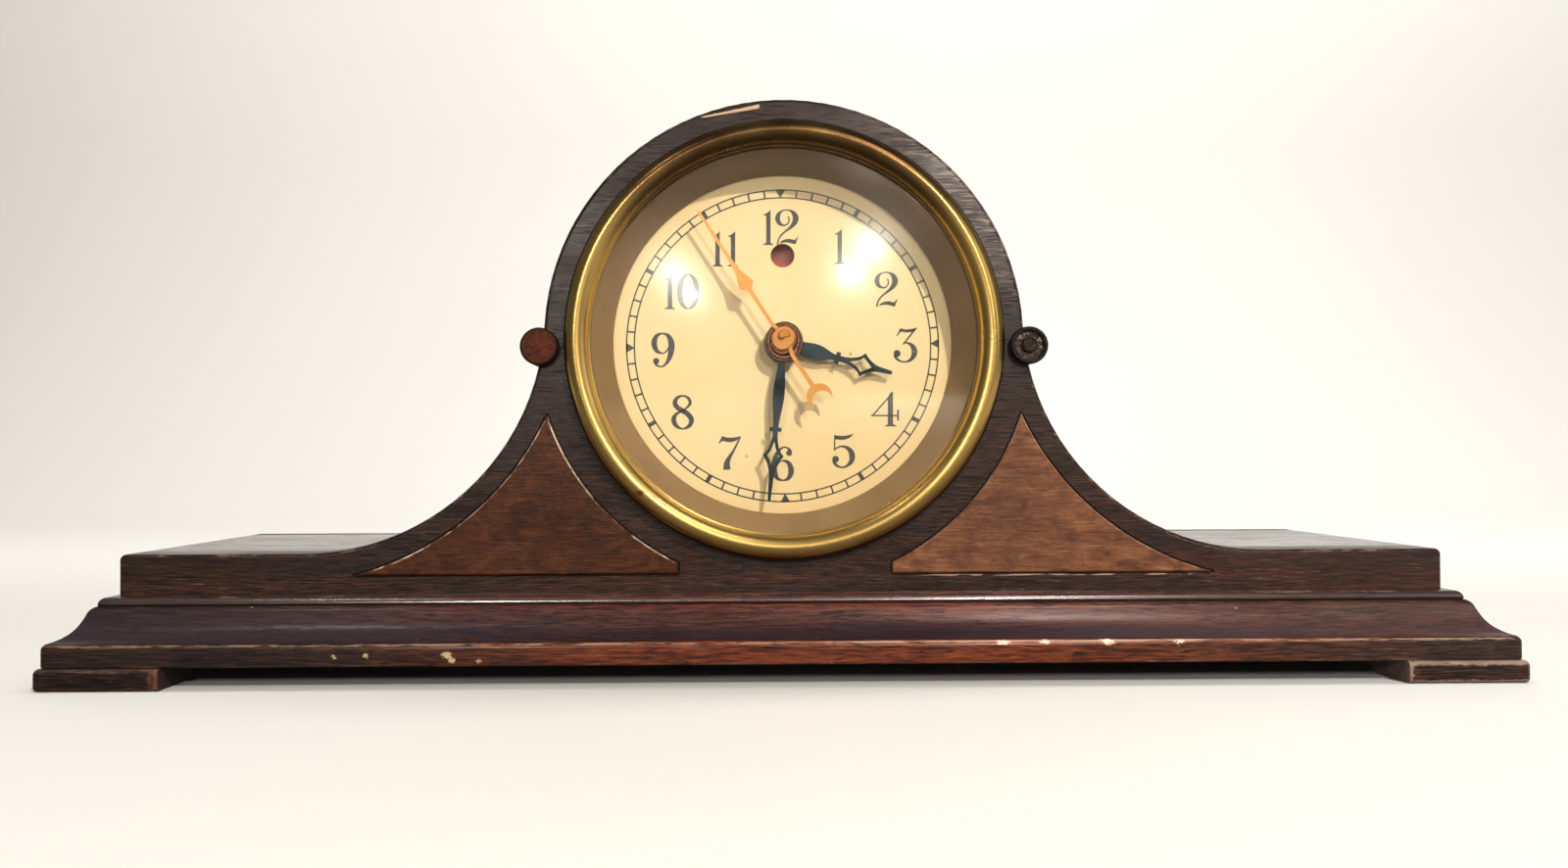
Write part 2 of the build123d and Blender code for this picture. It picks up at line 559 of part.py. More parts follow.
# ===========================================================================
# movement: plates, pillars, motor
# ===========================================================================
with BuildPart() as movement_front_plate:
    with BuildSketch(on_axis(D_FRONT_PLATE)):
        Circle(PLATE_R)
        Circle(2.0 + SLIP, mode=Mode.SUBTRACT)
        with Locations(MID_AT):
            Circle(0.75 + SLIP, mode=Mode.SUBTRACT)
        with Locations(MOTION_AT):
            Circle(1.0 + SLIP, mode=Mode.SUBTRACT)
        with Locations(SET_AT):
            Circle(1.5 + SLIP, mode=Mode.SUBTRACT)
        with Locations(FLAG_AT):
            Circle(1.2 + SLIP, mode=Mode.SUBTRACT)
        with Locations(*POSTS):
            Circle(1.5 + SLIP, mode=Mode.SUBTRACT)
        with Locations(*PILLARS):
            Circle(1.2 + SLIP, mode=Mode.SUBTRACT)
    extrude(amount=-PLATE_T)

with BuildPart() as movement_back_plate:
    with BuildSketch(on_axis(D_BACK_PLATE)):
        Circle(PLATE_R)
        Circle(1.0 + SLIP, mode=Mode.SUBTRACT)
        with Locations(MID_AT):
            Circle(0.75 + SLIP, mode=Mode.SUBTRACT)
        with Locations(ROTOR_AT):
            Circle(5.0 + SLIP, mode=Mode.SUBTRACT)
        with Locations(SET_AT):
            Circle(1.5 + SLIP, mode=Mode.SUBTRACT)
        with Locations(FLAG_AT):
            Circle(1.2 + SLIP, mode=Mode.SUBTRACT)
        with Locations(*FIELD_SCREWS):
            Circle(1.5 + SLIP, mode=Mode.SUBTRACT)
        with Locations(*PILLARS):
            Circle(1.2 + SLIP, mode=Mode.SUBTRACT)
    extrude(amount=-PLATE_T)

with BuildPart() as plate_pillars:
    with BuildSketch(on_axis(D_FRONT_PLATE + PLATE_T)):
        with Locations(*PILLARS):
            Circle(2.6)
            Circle(1.2 + SLIP, mode=Mode.SUBTRACT)
    extrude(amount=-(D_BACK_PLATE - D_FRONT_PLATE - PLATE_T))

with BuildPart() as pillar_screws:
    with BuildSketch(on_axis(D_FRONT_PLATE - 1.2)):
        with Locations(*PILLARS):
            Circle(2.2)
    extrude(amount=-1.2)
    with BuildSketch(on_axis(D_FRONT_PLATE)):
        with Locations(*PILLARS):
            Circle(1.2)
    extrude(amount=-(PLATE_T + 6.0))
    with BuildSketch(on_axis(D_BACK_PLATE + PLATE_T)):
        with Locations(*PILLARS):
            Circle(2.2)
    extrude(amount=-1.2)
    with BuildSketch(on_axis(D_BACK_PLATE - 6.0)):
        with Locations(*PILLARS):
            Circle(1.2)
    extrude(amount=-(PLATE_T + 6.0))

with BuildPart() as motion_stud:
    turned([(0, 17.0), (1.6, 17.0), (1.6, 17.5), (1.0, 17.5), (1.0, D_FRONT_PLATE + PLATE_T), (0, D_FRONT_PLATE + PLATE_T)], MOTION_AT)

with BuildPart() as rotor_can:
    turned([
        (0.95, 43.5), (5.0, 43.5), (5.0, D_BACK_PLATE + PLATE_T), (13.6, D_BACK_PLATE + PLATE_T), (14.0, D_BACK_PLATE + PLATE_T + 0.4),
        (14.0, 63.2), (13.2, 64.0), (0, 64.0), (0, 55.0), (0.95, 55.0),
    ], ROTOR_AT)

D_FIELD = 58.0
FIELD_T = 8.0
with BuildPart() as field_laminations:
    with BuildSketch(on_axis(D_FIELD)):
        with Locations((0, -29.0)):
            Rectangle(52, 54)
        with Locations(ROTOR_AT):
            Circle(14.5, mode=Mode.SUBTRACT)
        with Locations((0, -39.5)):
            Rectangle(31, 15, mode=Mode.SUBTRACT)
        with Locations((0, -20.0)):
            Rectangle(10, 40, mode=Mode.SUBTRACT)
        with Locations(*FIELD_SCREWS):
            Circle(1.5 + SLIP, mode=Mode.SUBTRACT)
    extrude(amount=-FIELD_T)

with BuildPart() as field_coil:
    with BuildSketch(Plane(origin=(-15.0, YF + D_FIELD + FIELD_T / 2, Z_DIAL - 51.5), x_dir=(0, 1, 0), z_dir=(1, 0, 0))):
        RectangleRounded(21, 20.4, 5.0)
        Rectangle(FIELD_T + 0.1, 9.1, mode=Mode.SUBTRACT)
    extrude(amount=30.0)

with BuildPart() as field_spacers:
    with BuildSketch(on_axis(D_BACK_PLATE + PLATE_T)):
        with Locations(*FIELD_SCREWS):
            Circle(3.0)
            Circle(1.5 + SLIP, mode=Mode.SUBTRACT)
    extrude(amount=-(D_FIELD - D_BACK_PLATE - PLATE_T))

with BuildPart() as field_screws:
    with BuildSketch(on_axis(D_FIELD + FIELD_T)):
        with Locations(*FIELD_SCREWS):
            Circle(2.8)
    extrude(amount=-1.8)
    with BuildSketch(on_axis(D_BACK_PLATE - 0.6)):
        with Locations(*FIELD_SCREWS):
            Circle(1.5)
    extrude(amount=-(D_FIELD + FIELD_T - D_BACK_PLATE + 0.6))

# ===========================================================================
# rear cover
# ===========================================================================
D_BACK = BODY_DEPTH
PAN = 3.2
with BuildPart() as rear_cover:
    turned([
        (0, D_BACK + PAN), (54.6, D_BACK + PAN), (56.4, D_BACK), (66.0, D_BACK), (66.0, D_BACK + 1.0),
        (57.0, D_BACK + 1.0), (55.2, D_BACK + PAN + 1.0), (0, D_BACK + PAN + 1.0),
    ])
    with BuildSketch(on_axis(D_BACK - 1)):
        with Locations(*COVER_SCREWS):
            Circle(1.5 + SLIP)
        with Locations(SET_AT):
            Circle(2.1)
        with Locations(FLAG_AT):
            Circle(1.8)
        with Locations(GLAND_AT):
            Circle(4.9 + SLIP)
        with Locations((0, -8), (0, -14), (0, -20), (0, 36 + 4), (0, 44), (0, 48)):
            SlotOverall(34, 2.4)
    extrude(amount=-(PAN + 4), mode=Mode.SUBTRACT)

with BuildPart() as rear_cover_screws:
    with BuildSketch(on_axis(D_BACK + 1.0)):
        with Locations(*COVER_SCREWS):
            Circle(2.9)
    extrude(amount=-1.6)
    with BuildSketch(on_axis(D_BACK - 6.5)):
        with Locations(*COVER_SCREWS):
            Circle(1.5)
    extrude(amount=-7.5)

GLAND_BORE = 3.3
with BuildPart() as cord_gland:
    turned([
        (GLAND_BORE, D_BACK + PAN - 2.2), (6.6, D_BACK + PAN - 2.2), (6.6, D_BACK + PAN), (4.9, D_BACK + PAN),
        (4.9, D_BACK + PAN + 1.0), (6.8, D_BACK + PAN + 1.0), (6.2, D_BACK + PAN + 3.4), (GLAND_BORE, D_BACK + PAN + 3.4),
    ], GLAND_AT)

# ===========================================================================
# going train and hands
# ===========================================================================
PH_CENTRE = 0.0
PH_MID_PINION = mesh_phase((0, 0), MID_AT, 80, PH_CENTRE, 10)
PH_SECOND_PINION = 0.0
PH_MID_WHEEL = mesh_phase((0, 0), MID_AT, 10, PH_SECOND_PINION, 75)
PH_SECOND_WHEEL = 0.0
PH_ROTOR = mesh_phase((0, 0), ROTOR_AT, 36, PH_SECOND_WHEEL, 10)
PH_CANNON = 0.0
PH_MOTION_WHEEL = mesh_phase((0, 0), MOTION_AT, 12, PH_CANNON, 36)
PH_HOUR = 0.0
PH_MOTION_PINION = mesh_phase((0, 0), MOTION_AT, 40, PH_HOUR, 10)
PH_SET = mesh_phase(MOTION_AT, SET_AT, 36, PH_MOTION_WHEEL, 12)


def gear(d, width, at, teeth, module, phase, form, bore=0.0):
    with BuildSketch(on_axis(d, at)) as blank:
        polygon(gear_points(teeth, module, phase, **form))
        if bore:
            Circle(bore, mode=Mode.SUBTRACT)
    extrude(blank.sketch, amount=-width)


def hand_face(side, hole):
    """Hand along local +y from (half width, radius) pairs, with an opening."""
    polygon([(w, r) for w, r in side] + [(-w, r) for w, r in reversed(side)])
    polygon([(w, r) for w, r in hole] + [(-w, r) for w, r in reversed(hole[1:-1])], Mode.SUBTRACT)


D_HOUR = 11.2
D_MINUTE = 8.8
D_SECOND = 6.2
HAND_T = 0.6

with BuildPart() as hour_wheel:
    turned([(2.0 + SLIP, D_HOUR + HAND_T), (3.3, D_HOUR + HAND_T), (3.3, 19.6), (2.0 + SLIP, 19.6)])
    gear(18.2, 1.4, (0, 0), 40, 0.6, PH_HOUR, WHEEL, 3.2)

with BuildPart() as hour_hand:
    with BuildSketch(on_axis(D_HOUR, (0, 0), HOUR_AT)):
        hand_face(
            [(2.1, 0), (2.1, 5), (2.45, 8), (2.7, 10), (2.75, 11.5), (2.6, 13), (2.2, 14.6), (1.55, 16.3), (1.05, 18.0), (1.0, 18.7), (2.1, 18.7), (2.1, 20.2),
             (1.0, 20.2), (1.0, 22), (1.35, 24), (2.1, 26.2), (3.0, 27.5), (4.2, 28.4), (2.9, 29.8), (1.95, 31.2), (1.25, 32.8), (0.95, 34), (0.6, 39)],
            [(0, 23.8), (0.65, 25.6), (1.4, 27.15), (2.55, 28.3), (1.55, 29.65), (0.75, 30.8), (0, 31.7)],
        )
        Circle(6.7)
        Circle(2.0 + SLIP, mode=Mode.SUBTRACT)
    extrude(amount=-HAND_T)

with BuildPart() as minute_arbor:
    turned([(1.0 + SLIP, D_MINUTE + HAND_T), (2.0, D_MINUTE + HAND_T), (2.0, 29.0), (1.0 + SLIP, 29.0)])
    gear(20.6, 1.9, (0, 0), 12, 0.625, PH_CANNON, PINION, 1.9)
    turned([(1.9, 26.0), (4.0, 26.0), (4.0, 27.0), (1.9, 27.0)])

with BuildPart() as centre_wheel:
    gear(27.0, 1.4, (0, 0), 80, 0.6 * 85 / 90, PH_CENTRE, WHEEL, 2.0)
    with BuildSketch(on_axis(26.5)):
        with PolarLocations(13.5, 5):
            Circle(5.6)
    extrude(amount=-3, mode=Mode.SUBTRACT)

with BuildPart() as minute_hand:
    with BuildSketch(on_axis(D_MINUTE, (0, 0), MINUTE_AT)):
        hand_face(
            [(1.2, 0), (1.2, 6.5), (1.35, 9), (1.7, 12), (1.95, 14.5), (2.0, 17), (1.95, 19.5), (1.7, 22), (1.3, 25), (0.95, 28), (0.9, 29.3), (2.0, 29.3), (2.0, 30.7),
             (0.9, 30.7), (0.9, 32.5), (1.2, 34.5), (1.8, 36.6), (2.6, 38.0), (3.6, 39.0), (2.6, 40.5), (1.75, 42.1), (1.15, 44), (0.85, 46), (0.5, 54.5)],
            [(0, 34.2), (0.55, 36.2), (1.2, 37.75), (2.1, 38.95), (1.3, 40.35), (0.65, 41.8), (0, 42.9)],
        )
        Circle(6.7)
        Circle(1.0 + SLIP, mode=Mode.SUBTRACT)
    extrude(amount=-HAND_T)

with BuildPart() as minute_collar:
    turned([
        (1.0 + SLIP, 7.1), (4.35, 7.1), (4.5, 7.25), (4.5, 7.75), (4.9, 7.75), (4.9, 7.55), (5.4, 7.55), (5.55, 7.7), (5.55, 8.25),
        (5.85, 8.25), (5.85, 8.05), (6.45, 8.05), (6.6, 8.2), (6.6, D_MINUTE), (1.0 + SLIP, D_MINUTE),
    ])

with BuildPart() as second_arbor:
    turned([(0, D_SECOND + HAND_T), (1.0, D_SECOND + HAND_T), (1.0, D_BACK_PLATE + PLATE_T + 0.8), (0, D_BACK_PLATE + PLATE_T + 0.8)])
    gear(30.4, 2.6, (0, 0), 10, 0.6, PH_SECOND_PINION, PINION)
    gear(36.0, 1.4, (0, 0), 36, 0.7, PH_SECOND_WHEEL, WHEEL)
    turned([(0, 33.0), (2.2, 33.0), (2.2, 36.0), (0, 36.0)])
    with BuildSketch(on_axis(35.9)):
        with PolarLocations(7.4, 4):
            Circle(2.9)
    extrude(amount=-2, mode=Mode.SUBTRACT)

with BuildPart() as second_hand:
    with BuildSketch(on_axis(D_SECOND, (0, 0), SECOND_AT)):
        polygon([(0.62, 0), (0.62, 19.5), (0.8, 21.4), (1.6, 22.1), (2.7, 23.1), (2.2, 25), (1.4, 27.2), (0.85, 30), (0.62, 33), (0.42, 53.5),
                 (-0.42, 53.5), (-0.62, 33), (-0.85, 30), (-1.4, 27.2), (-2.2, 25), (-2.7, 23.1), (-1.6, 22.1), (-0.8, 21.4), (-0.62, 19.5), (-0.62, 0)])
        polygon([(0.62, 0), (-0.62, 0), (-0.75, -18.6), (0.75, -18.6)])
        with Locations((0, -22.2)):
            Circle(4.4)
        with Locations((0, -24.2)):
            Circle(3.6, mode=Mode.SUBTRACT)
        Circle(3.85)
    extrude(amount=-HAND_T)
    turned([(0, D_SECOND - 1.1), (1.45, D_SECOND - 1.1), (1.85, D_SECOND - 0.75), (1.85, D_SECOND + 0.1), (0, D_SECOND + 0.1)])

with BuildPart() as intermediate_arbor:
    turned([(0, 24.2), (0.75, 24.2), (0.75, 25.9), (1.3, 25.9), (1.3, 44.6), (0.75, 44.6), (0.75, 46.3), (0, 46.3)], MID_AT)
    gear(26.4, 2.6, MID_AT, 10, 0.6 * 85 / 90, PH_MID_PINION, PINION)
    gear(31.0, 1.4, MID_AT, 75, 0.6, PH_MID_WHEEL, WHEEL)
    turned([(0, 29.0), (2.6, 29.0), (2.6, 31.0), (0, 31.0)], MID_AT)
    with BuildSketch(on_axis(30.9, MID_AT)):
        with PolarLocations(13.2, 5):
            Circle(5.6)
    extrude(amount=-2, mode=Mode.SUBTRACT)

with BuildPart() as motion_wheel:
    gear(17.8, 3.0, MOTION_AT, 10, 0.6, PH_MOTION_PINION, PINION, 1.0 + SLIP)
    gear(20.8, 1.5, MOTION_AT, 36, 0.625, PH_MOTION_WHEEL, dict(addendum=0.7, dedendum=1.15), 1.0 + SLIP)
    turned([(1.0 + SLIP, 22.3), (2.2, 22.3), (2.2, 23.7), (1.0 + SLIP, 23.7)], MOTION_AT)

with BuildPart() as set_shaft:
    turned([(0, 20.2), (1.5, 20.2), (1.5, KNOB_END - 2.0), (0, KNOB_END - 2.0)], SET_AT)
    gear(20.6, 1.9, SET_AT, 12, 0.625, PH_SET, PINION)
    turned([(0, 22.5), (2.6, 22.5), (2.6, 23.7), (0, 23.7)], SET_AT)

D_KNOB = D_BACK + PAN + 2.6
with BuildPart() as set_knob:
    turned([(0, D_KNOB), (4.0, D_KNOB), (4.0, D_KNOB + 1.6), (8.0, D_KNOB + 1.6), (8.0, KNOB_END - 0.8), (7.2, KNOB_END), (0, KNOB_END)], SET_AT)
    with BuildSketch(on_axis(D_KNOB + 1.0, SET_AT)):
        with PolarLocations(8.35, 24):
            Circle(0.7)
    extrude(amount=-10, mode=Mode.SUBTRACT)
    with BuildSketch(on_axis(D_KNOB - 1, SET_AT)):
        Circle(1.5)
    extrude(amount=-(1 + KNOB_END - 2.0 - D_KNOB), mode=Mode.SUBTRACT)

with BuildPart() as rotor_pinion:
    turned([(0, 34.6), (0.9, 34.6), (0.9, 54.6), (0, 54.6)], ROTOR_AT)
    gear(35.4, 2.6, ROTOR_AT, 10, 0.7, PH_ROTOR, PINION)

# current indicator: a flag on its own arbor, with a reset lever at the rear
FLAG_SWING = 35.0
with BuildPart() as indicator_arbor:
    turned([(0, 20.4), (1.2, 20.4), (1.2, D_BACK + PAN + 5.4), (0, D_BACK + PAN + 5.4)], FLAG_AT)
    turned([(0, 21.9), (2.4, 21.9), (2.4, 23.7), (0, 23.7)], FLAG_AT)

with BuildPart() as indicator_flag:
    with BuildSketch(on_axis(21.3, FLAG_AT)):
        Circle(3.2)
        polygon([(0, -2.0), (16, -2.0), (16, 2.0), (0, 2.0)])
        with Locations((16, 0)):
            Circle(5.6)
        with Locations((16 * math.cos(math.radians(FLAG_SWING)), -16 * math.sin(math.radians(FLAG_SWING)))):
            Circle(5.6)
        polygon([(9, -6), (16 * math.cos(math.radians(FLAG_SWING)), -16 * math.sin(math.radians(FLAG_SWING))), (16, 0), (10, 0)])
        Circle(1.2, mode=Mode.SUBTRACT)
    extrude(amount=-0.6)

with BuildPart() as indicator_disc:
    with BuildSketch(on_axis(20.9, FLAG_AT)):
        with Locations((16, 0)):
            Circle(4.9)
    extrude(amount=-0.4)

with BuildPart() as reset_lever:
    with BuildSketch(on_axis(D_BACK + PAN + 2.2, FLAG_AT)):
        Circle(3.6)
        polygon([(-1.6, 0), (-1.6, 10), (1.6, 10), (1.6, 0)])
        with Locations((0, 10)):
            Circle(2.4)
        Circle(1.2, mode=Mode.SUBTRACT)
    extrude(amount=-2.4)

# ===========================================================================
# labels and files
# ===========================================================================
front_panel.part.label = "front_panel"
back_panel.part.label = "back_panel"
arch_skin.part.label = "arch_skin"
shoulder_skin_left.part.label = "shoulder_skin_left"
shoulder_skin_right.part.label = "shoulder_skin_right"
end_board_left.part.label = "end_board_left"
end_board_right.part.label = "end_board_right"
side_dowel_left.part.label = "side_dowel_left"
side_dowel_right.part.label = "side_dowel_right"
inlay_left.part.label = "inlay_left"
inlay_right.part.label = "inlay_right"
base_moulding_front.part.label = "base_moulding_front"
base_moulding_left.part.label = "base_moulding_left"
base_moulding_right.part.label = "base_moulding_right"
base_rear_rail.part.label = "base_rear_rail"
base_board.part.label = "base_board"
foot_front_left.part.label = "foot_front_left"
foot_front_right.part.label = "foot_front_right"
foot_rear_left.part.label = "foot_rear_left"
foot_rear_right.part.label = "foot_rear_right"
base_screws.part.label = "base_screws"
bezel_ring.part.label = "bezel_ring"
bezel_glass.part.label = "bezel_glass"
glass_retainer.part.label = "glass_retainer"
reveal_ring.part.label = "reveal_ring"
dial_plate.part.label = "dial_plate"
dial_screws.part.label = "dial_screws"
dial_posts.part.label = "dial_posts"
movement_front_plate.part.label = "movement_front_plate"
movement_back_plate.part.label = "movement_back_plate"
plate_pillars.part.label = "plate_pillars"
pillar_screws.part.label = "pillar_screws"
motion_stud.part.label = "motion_stud"
rotor_can.part.label = "rotor_can"
field_laminations.part.label = "field_laminations"
field_coil.part.label = "field_coil"
field_spacers.part.label = "field_spacers"
field_screws.part.label = "field_screws"
rear_cover.part.label = "rear_cover"
rear_cover_screws.part.label = "rear_cover_screws"
cord_gland.part.label = "cord_gland"
hour_wheel.part.label = "hour_wheel"
hour_hand.part.label = "hour_hand"
minute_arbor.part.label = "minute_arbor"
centre_wheel.part.label = "centre_wheel"
minute_hand.part.label = "minute_hand"
minute_collar.part.label = "minute_collar"
second_arbor.part.label = "second_arbor"
second_hand.part.label = "second_hand"
intermediate_arbor.part.label = "intermediate_arbor"
motion_wheel.part.label = "motion_wheel"
set_shaft.part.label = "set_shaft"
set_knob.part.label = "set_knob"
rotor_pinion.part.label = "rotor_pinion"
indicator_arbor.part.label = "indicator_arbor"
indicator_flag.part.label = "indicator_flag"
indicator_disc.part.label = "indicator_disc"
reset_lever.part.label = "reset_lever"

export_step(front_panel.part, "parts/front_panel.step")
export_step(back_panel.part, "parts/back_panel.step")
export_step(arch_skin.part, "parts/arch_skin.step")
export_step(shoulder_skin_left.part, "parts/shoulder_skin_left.step")
export_step(shoulder_skin_right.part, "parts/shoulder_skin_right.step")
export_step(end_board_left.part, "parts/end_board_left.step")
export_step(end_board_right.part, "parts/end_board_right.step")
export_step(side_dowel_left.part, "parts/side_dowel_left.step")
export_step(side_dowel_right.part, "parts/side_dowel_right.step")
export_step(inlay_left.part, "parts/inlay_left.step")
export_step(inlay_right.part, "parts/inlay_right.step")
export_step(base_moulding_front.part, "parts/base_moulding_front.step")
export_step(base_moulding_left.part, "parts/base_moulding_left.step")
export_step(base_moulding_right.part, "parts/base_moulding_right.step")
export_step(base_rear_rail.part, "parts/base_rear_rail.step")
export_step(base_board.part, "parts/base_board.step")
export_step(foot_front_left.part, "parts/foot_front_left.step")
export_step(foot_front_right.part, "parts/foot_front_right.step")
export_step(foot_rear_left.part, "parts/foot_rear_left.step")
export_step(foot_rear_right.part, "parts/foot_rear_right.step")
export_step(base_screws.part, "parts/base_screws.step")
export_step(bezel_ring.part, "parts/bezel_ring.step")
export_step(bezel_glass.part, "parts/bezel_glass.step")
export_step(glass_retainer.part, "parts/glass_retainer.step")
export_step(reveal_ring.part, "parts/reveal_ring.step")
export_step(dial_plate.part, "parts/dial_plate.step")
export_step(dial_screws.part, "parts/dial_screws.step")
export_step(dial_posts.part, "parts/dial_posts.step")
export_step(movement_front_plate.part, "parts/movement_front_plate.step")
export_step(movement_back_plate.part, "parts/movement_back_plate.step")
export_step(plate_pillars.part, "parts/plate_pillars.step")
export_step(pillar_screws.part, "parts/pillar_screws.step")
export_step(motion_stud.part, "parts/motion_stud.step")
export_step(rotor_can.part, "parts/rotor_can.step")
export_step(field_laminations.part, "parts/field_laminations.step")
export_step(field_coil.part, "parts/field_coil.step")
export_step(field_spacers.part, "parts/field_spacers.step")
export_step(field_screws.part, "parts/field_screws.step")
export_step(rear_cover.part, "parts/rear_cover.step")
export_step(rear_cover_screws.part, "parts/rear_cover_screws.step")
export_step(cord_gland.part, "parts/cord_gland.step")
export_step(hour_wheel.part, "parts/hour_wheel.step")
export_step(hour_hand.part, "parts/hour_hand.step")
export_step(minute_arbor.part, "parts/minute_arbor.step")
export_step(centre_wheel.part, "parts/centre_wheel.step")
export_step(minute_hand.part, "parts/minute_hand.step")
export_step(minute_collar.part, "parts/minute_collar.step")
export_step(second_arbor.part, "parts/second_arbor.step")
export_step(second_hand.part, "parts/second_hand.step")
export_step(intermediate_arbor.part, "parts/intermediate_arbor.step")
export_step(motion_wheel.part, "parts/motion_wheel.step")
export_step(set_shaft.part, "parts/set_shaft.step")
export_step(set_knob.part, "parts/set_knob.step")
export_step(rotor_pinion.part, "parts/rotor_pinion.step")
export_step(indicator_arbor.part, "parts/indicator_arbor.step")
export_step(indicator_flag.part, "parts/indicator_flag.step")
export_step(indicator_disc.part, "parts/indicator_disc.step")
export_step(reset_lever.part, "parts/reset_lever.step")
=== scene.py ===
import math
import bpy
import bmesh
from mathutils import Matrix, Vector


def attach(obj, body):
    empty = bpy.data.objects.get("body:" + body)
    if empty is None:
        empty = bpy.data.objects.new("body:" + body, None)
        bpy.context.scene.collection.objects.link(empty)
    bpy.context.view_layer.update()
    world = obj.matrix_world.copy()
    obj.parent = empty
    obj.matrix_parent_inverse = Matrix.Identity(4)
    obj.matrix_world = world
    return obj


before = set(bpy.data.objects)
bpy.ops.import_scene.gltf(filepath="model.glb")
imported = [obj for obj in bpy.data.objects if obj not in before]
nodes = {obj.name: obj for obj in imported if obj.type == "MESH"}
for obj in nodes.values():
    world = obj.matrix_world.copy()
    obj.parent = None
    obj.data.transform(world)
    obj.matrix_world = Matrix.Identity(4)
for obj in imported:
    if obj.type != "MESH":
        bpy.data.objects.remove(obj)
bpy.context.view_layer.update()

scene = bpy.context.scene
MM = 0.001
DIAL_Z = 113.6          # height of the dial axis, mm
DIAL_Y = -38.75         # painted face of the dial, mm

# ---------------------------------------------------------------------------
# camera: one wide phone-like view from just below the middle of the dial
# ---------------------------------------------------------------------------
FOCAL_PX = 1200.0
CENTRE_PX = (771.577, 456.821)
EYE = Vector((-15.101, -449.815, 73.188))
TURN = (
    Matrix.Rotation(-0.013687, 3, "Z")
    @ Matrix.Rotation(0.0105577, 3, "X")
    @ Matrix.Rotation(0.0038008, 3, "Y")
)
RIGHT, AHEAD, UP = (Vector(TURN.col[i]) for i in range(3))

cam_data = bpy.data.cameras.new("view")
cam_data.sensor_fit = "HORIZONTAL"
cam_data.sensor_width = 36.0
cam_data.lens = 36.0 * FOCAL_PX / 1600.0
cam_data.shift_x = (800.0 - CENTRE_PX[0]) / 1600.0
cam_data.shift_y = (CENTRE_PX[1] - 443.0) / 1600.0
cam_data.clip_start = 0.01
cam_data.clip_end = 50.0
cam = bpy.data.objects.new("view", cam_data)
scene.collection.objects.link(cam)
place = Matrix.Identity(4)
for i, axis in enumerate((RIGHT, UP, -AHEAD)):
    for k in range(3):
        place[k][i] = axis[k]
place.translation = EYE * MM
cam.matrix_world = place
scene.camera = cam


def on_plane(u, v, y):
    """Point of the plane at depth y (mm) seen at a place of the 1600 x 886 picture."""
    ray = RIGHT * ((u - CENTRE_PX[0]) / FOCAL_PX) + AHEAD - UP * ((v - CENTRE_PX[1]) / FOCAL_PX)
    return EYE + ray * ((y - EYE.y) / ray.y)


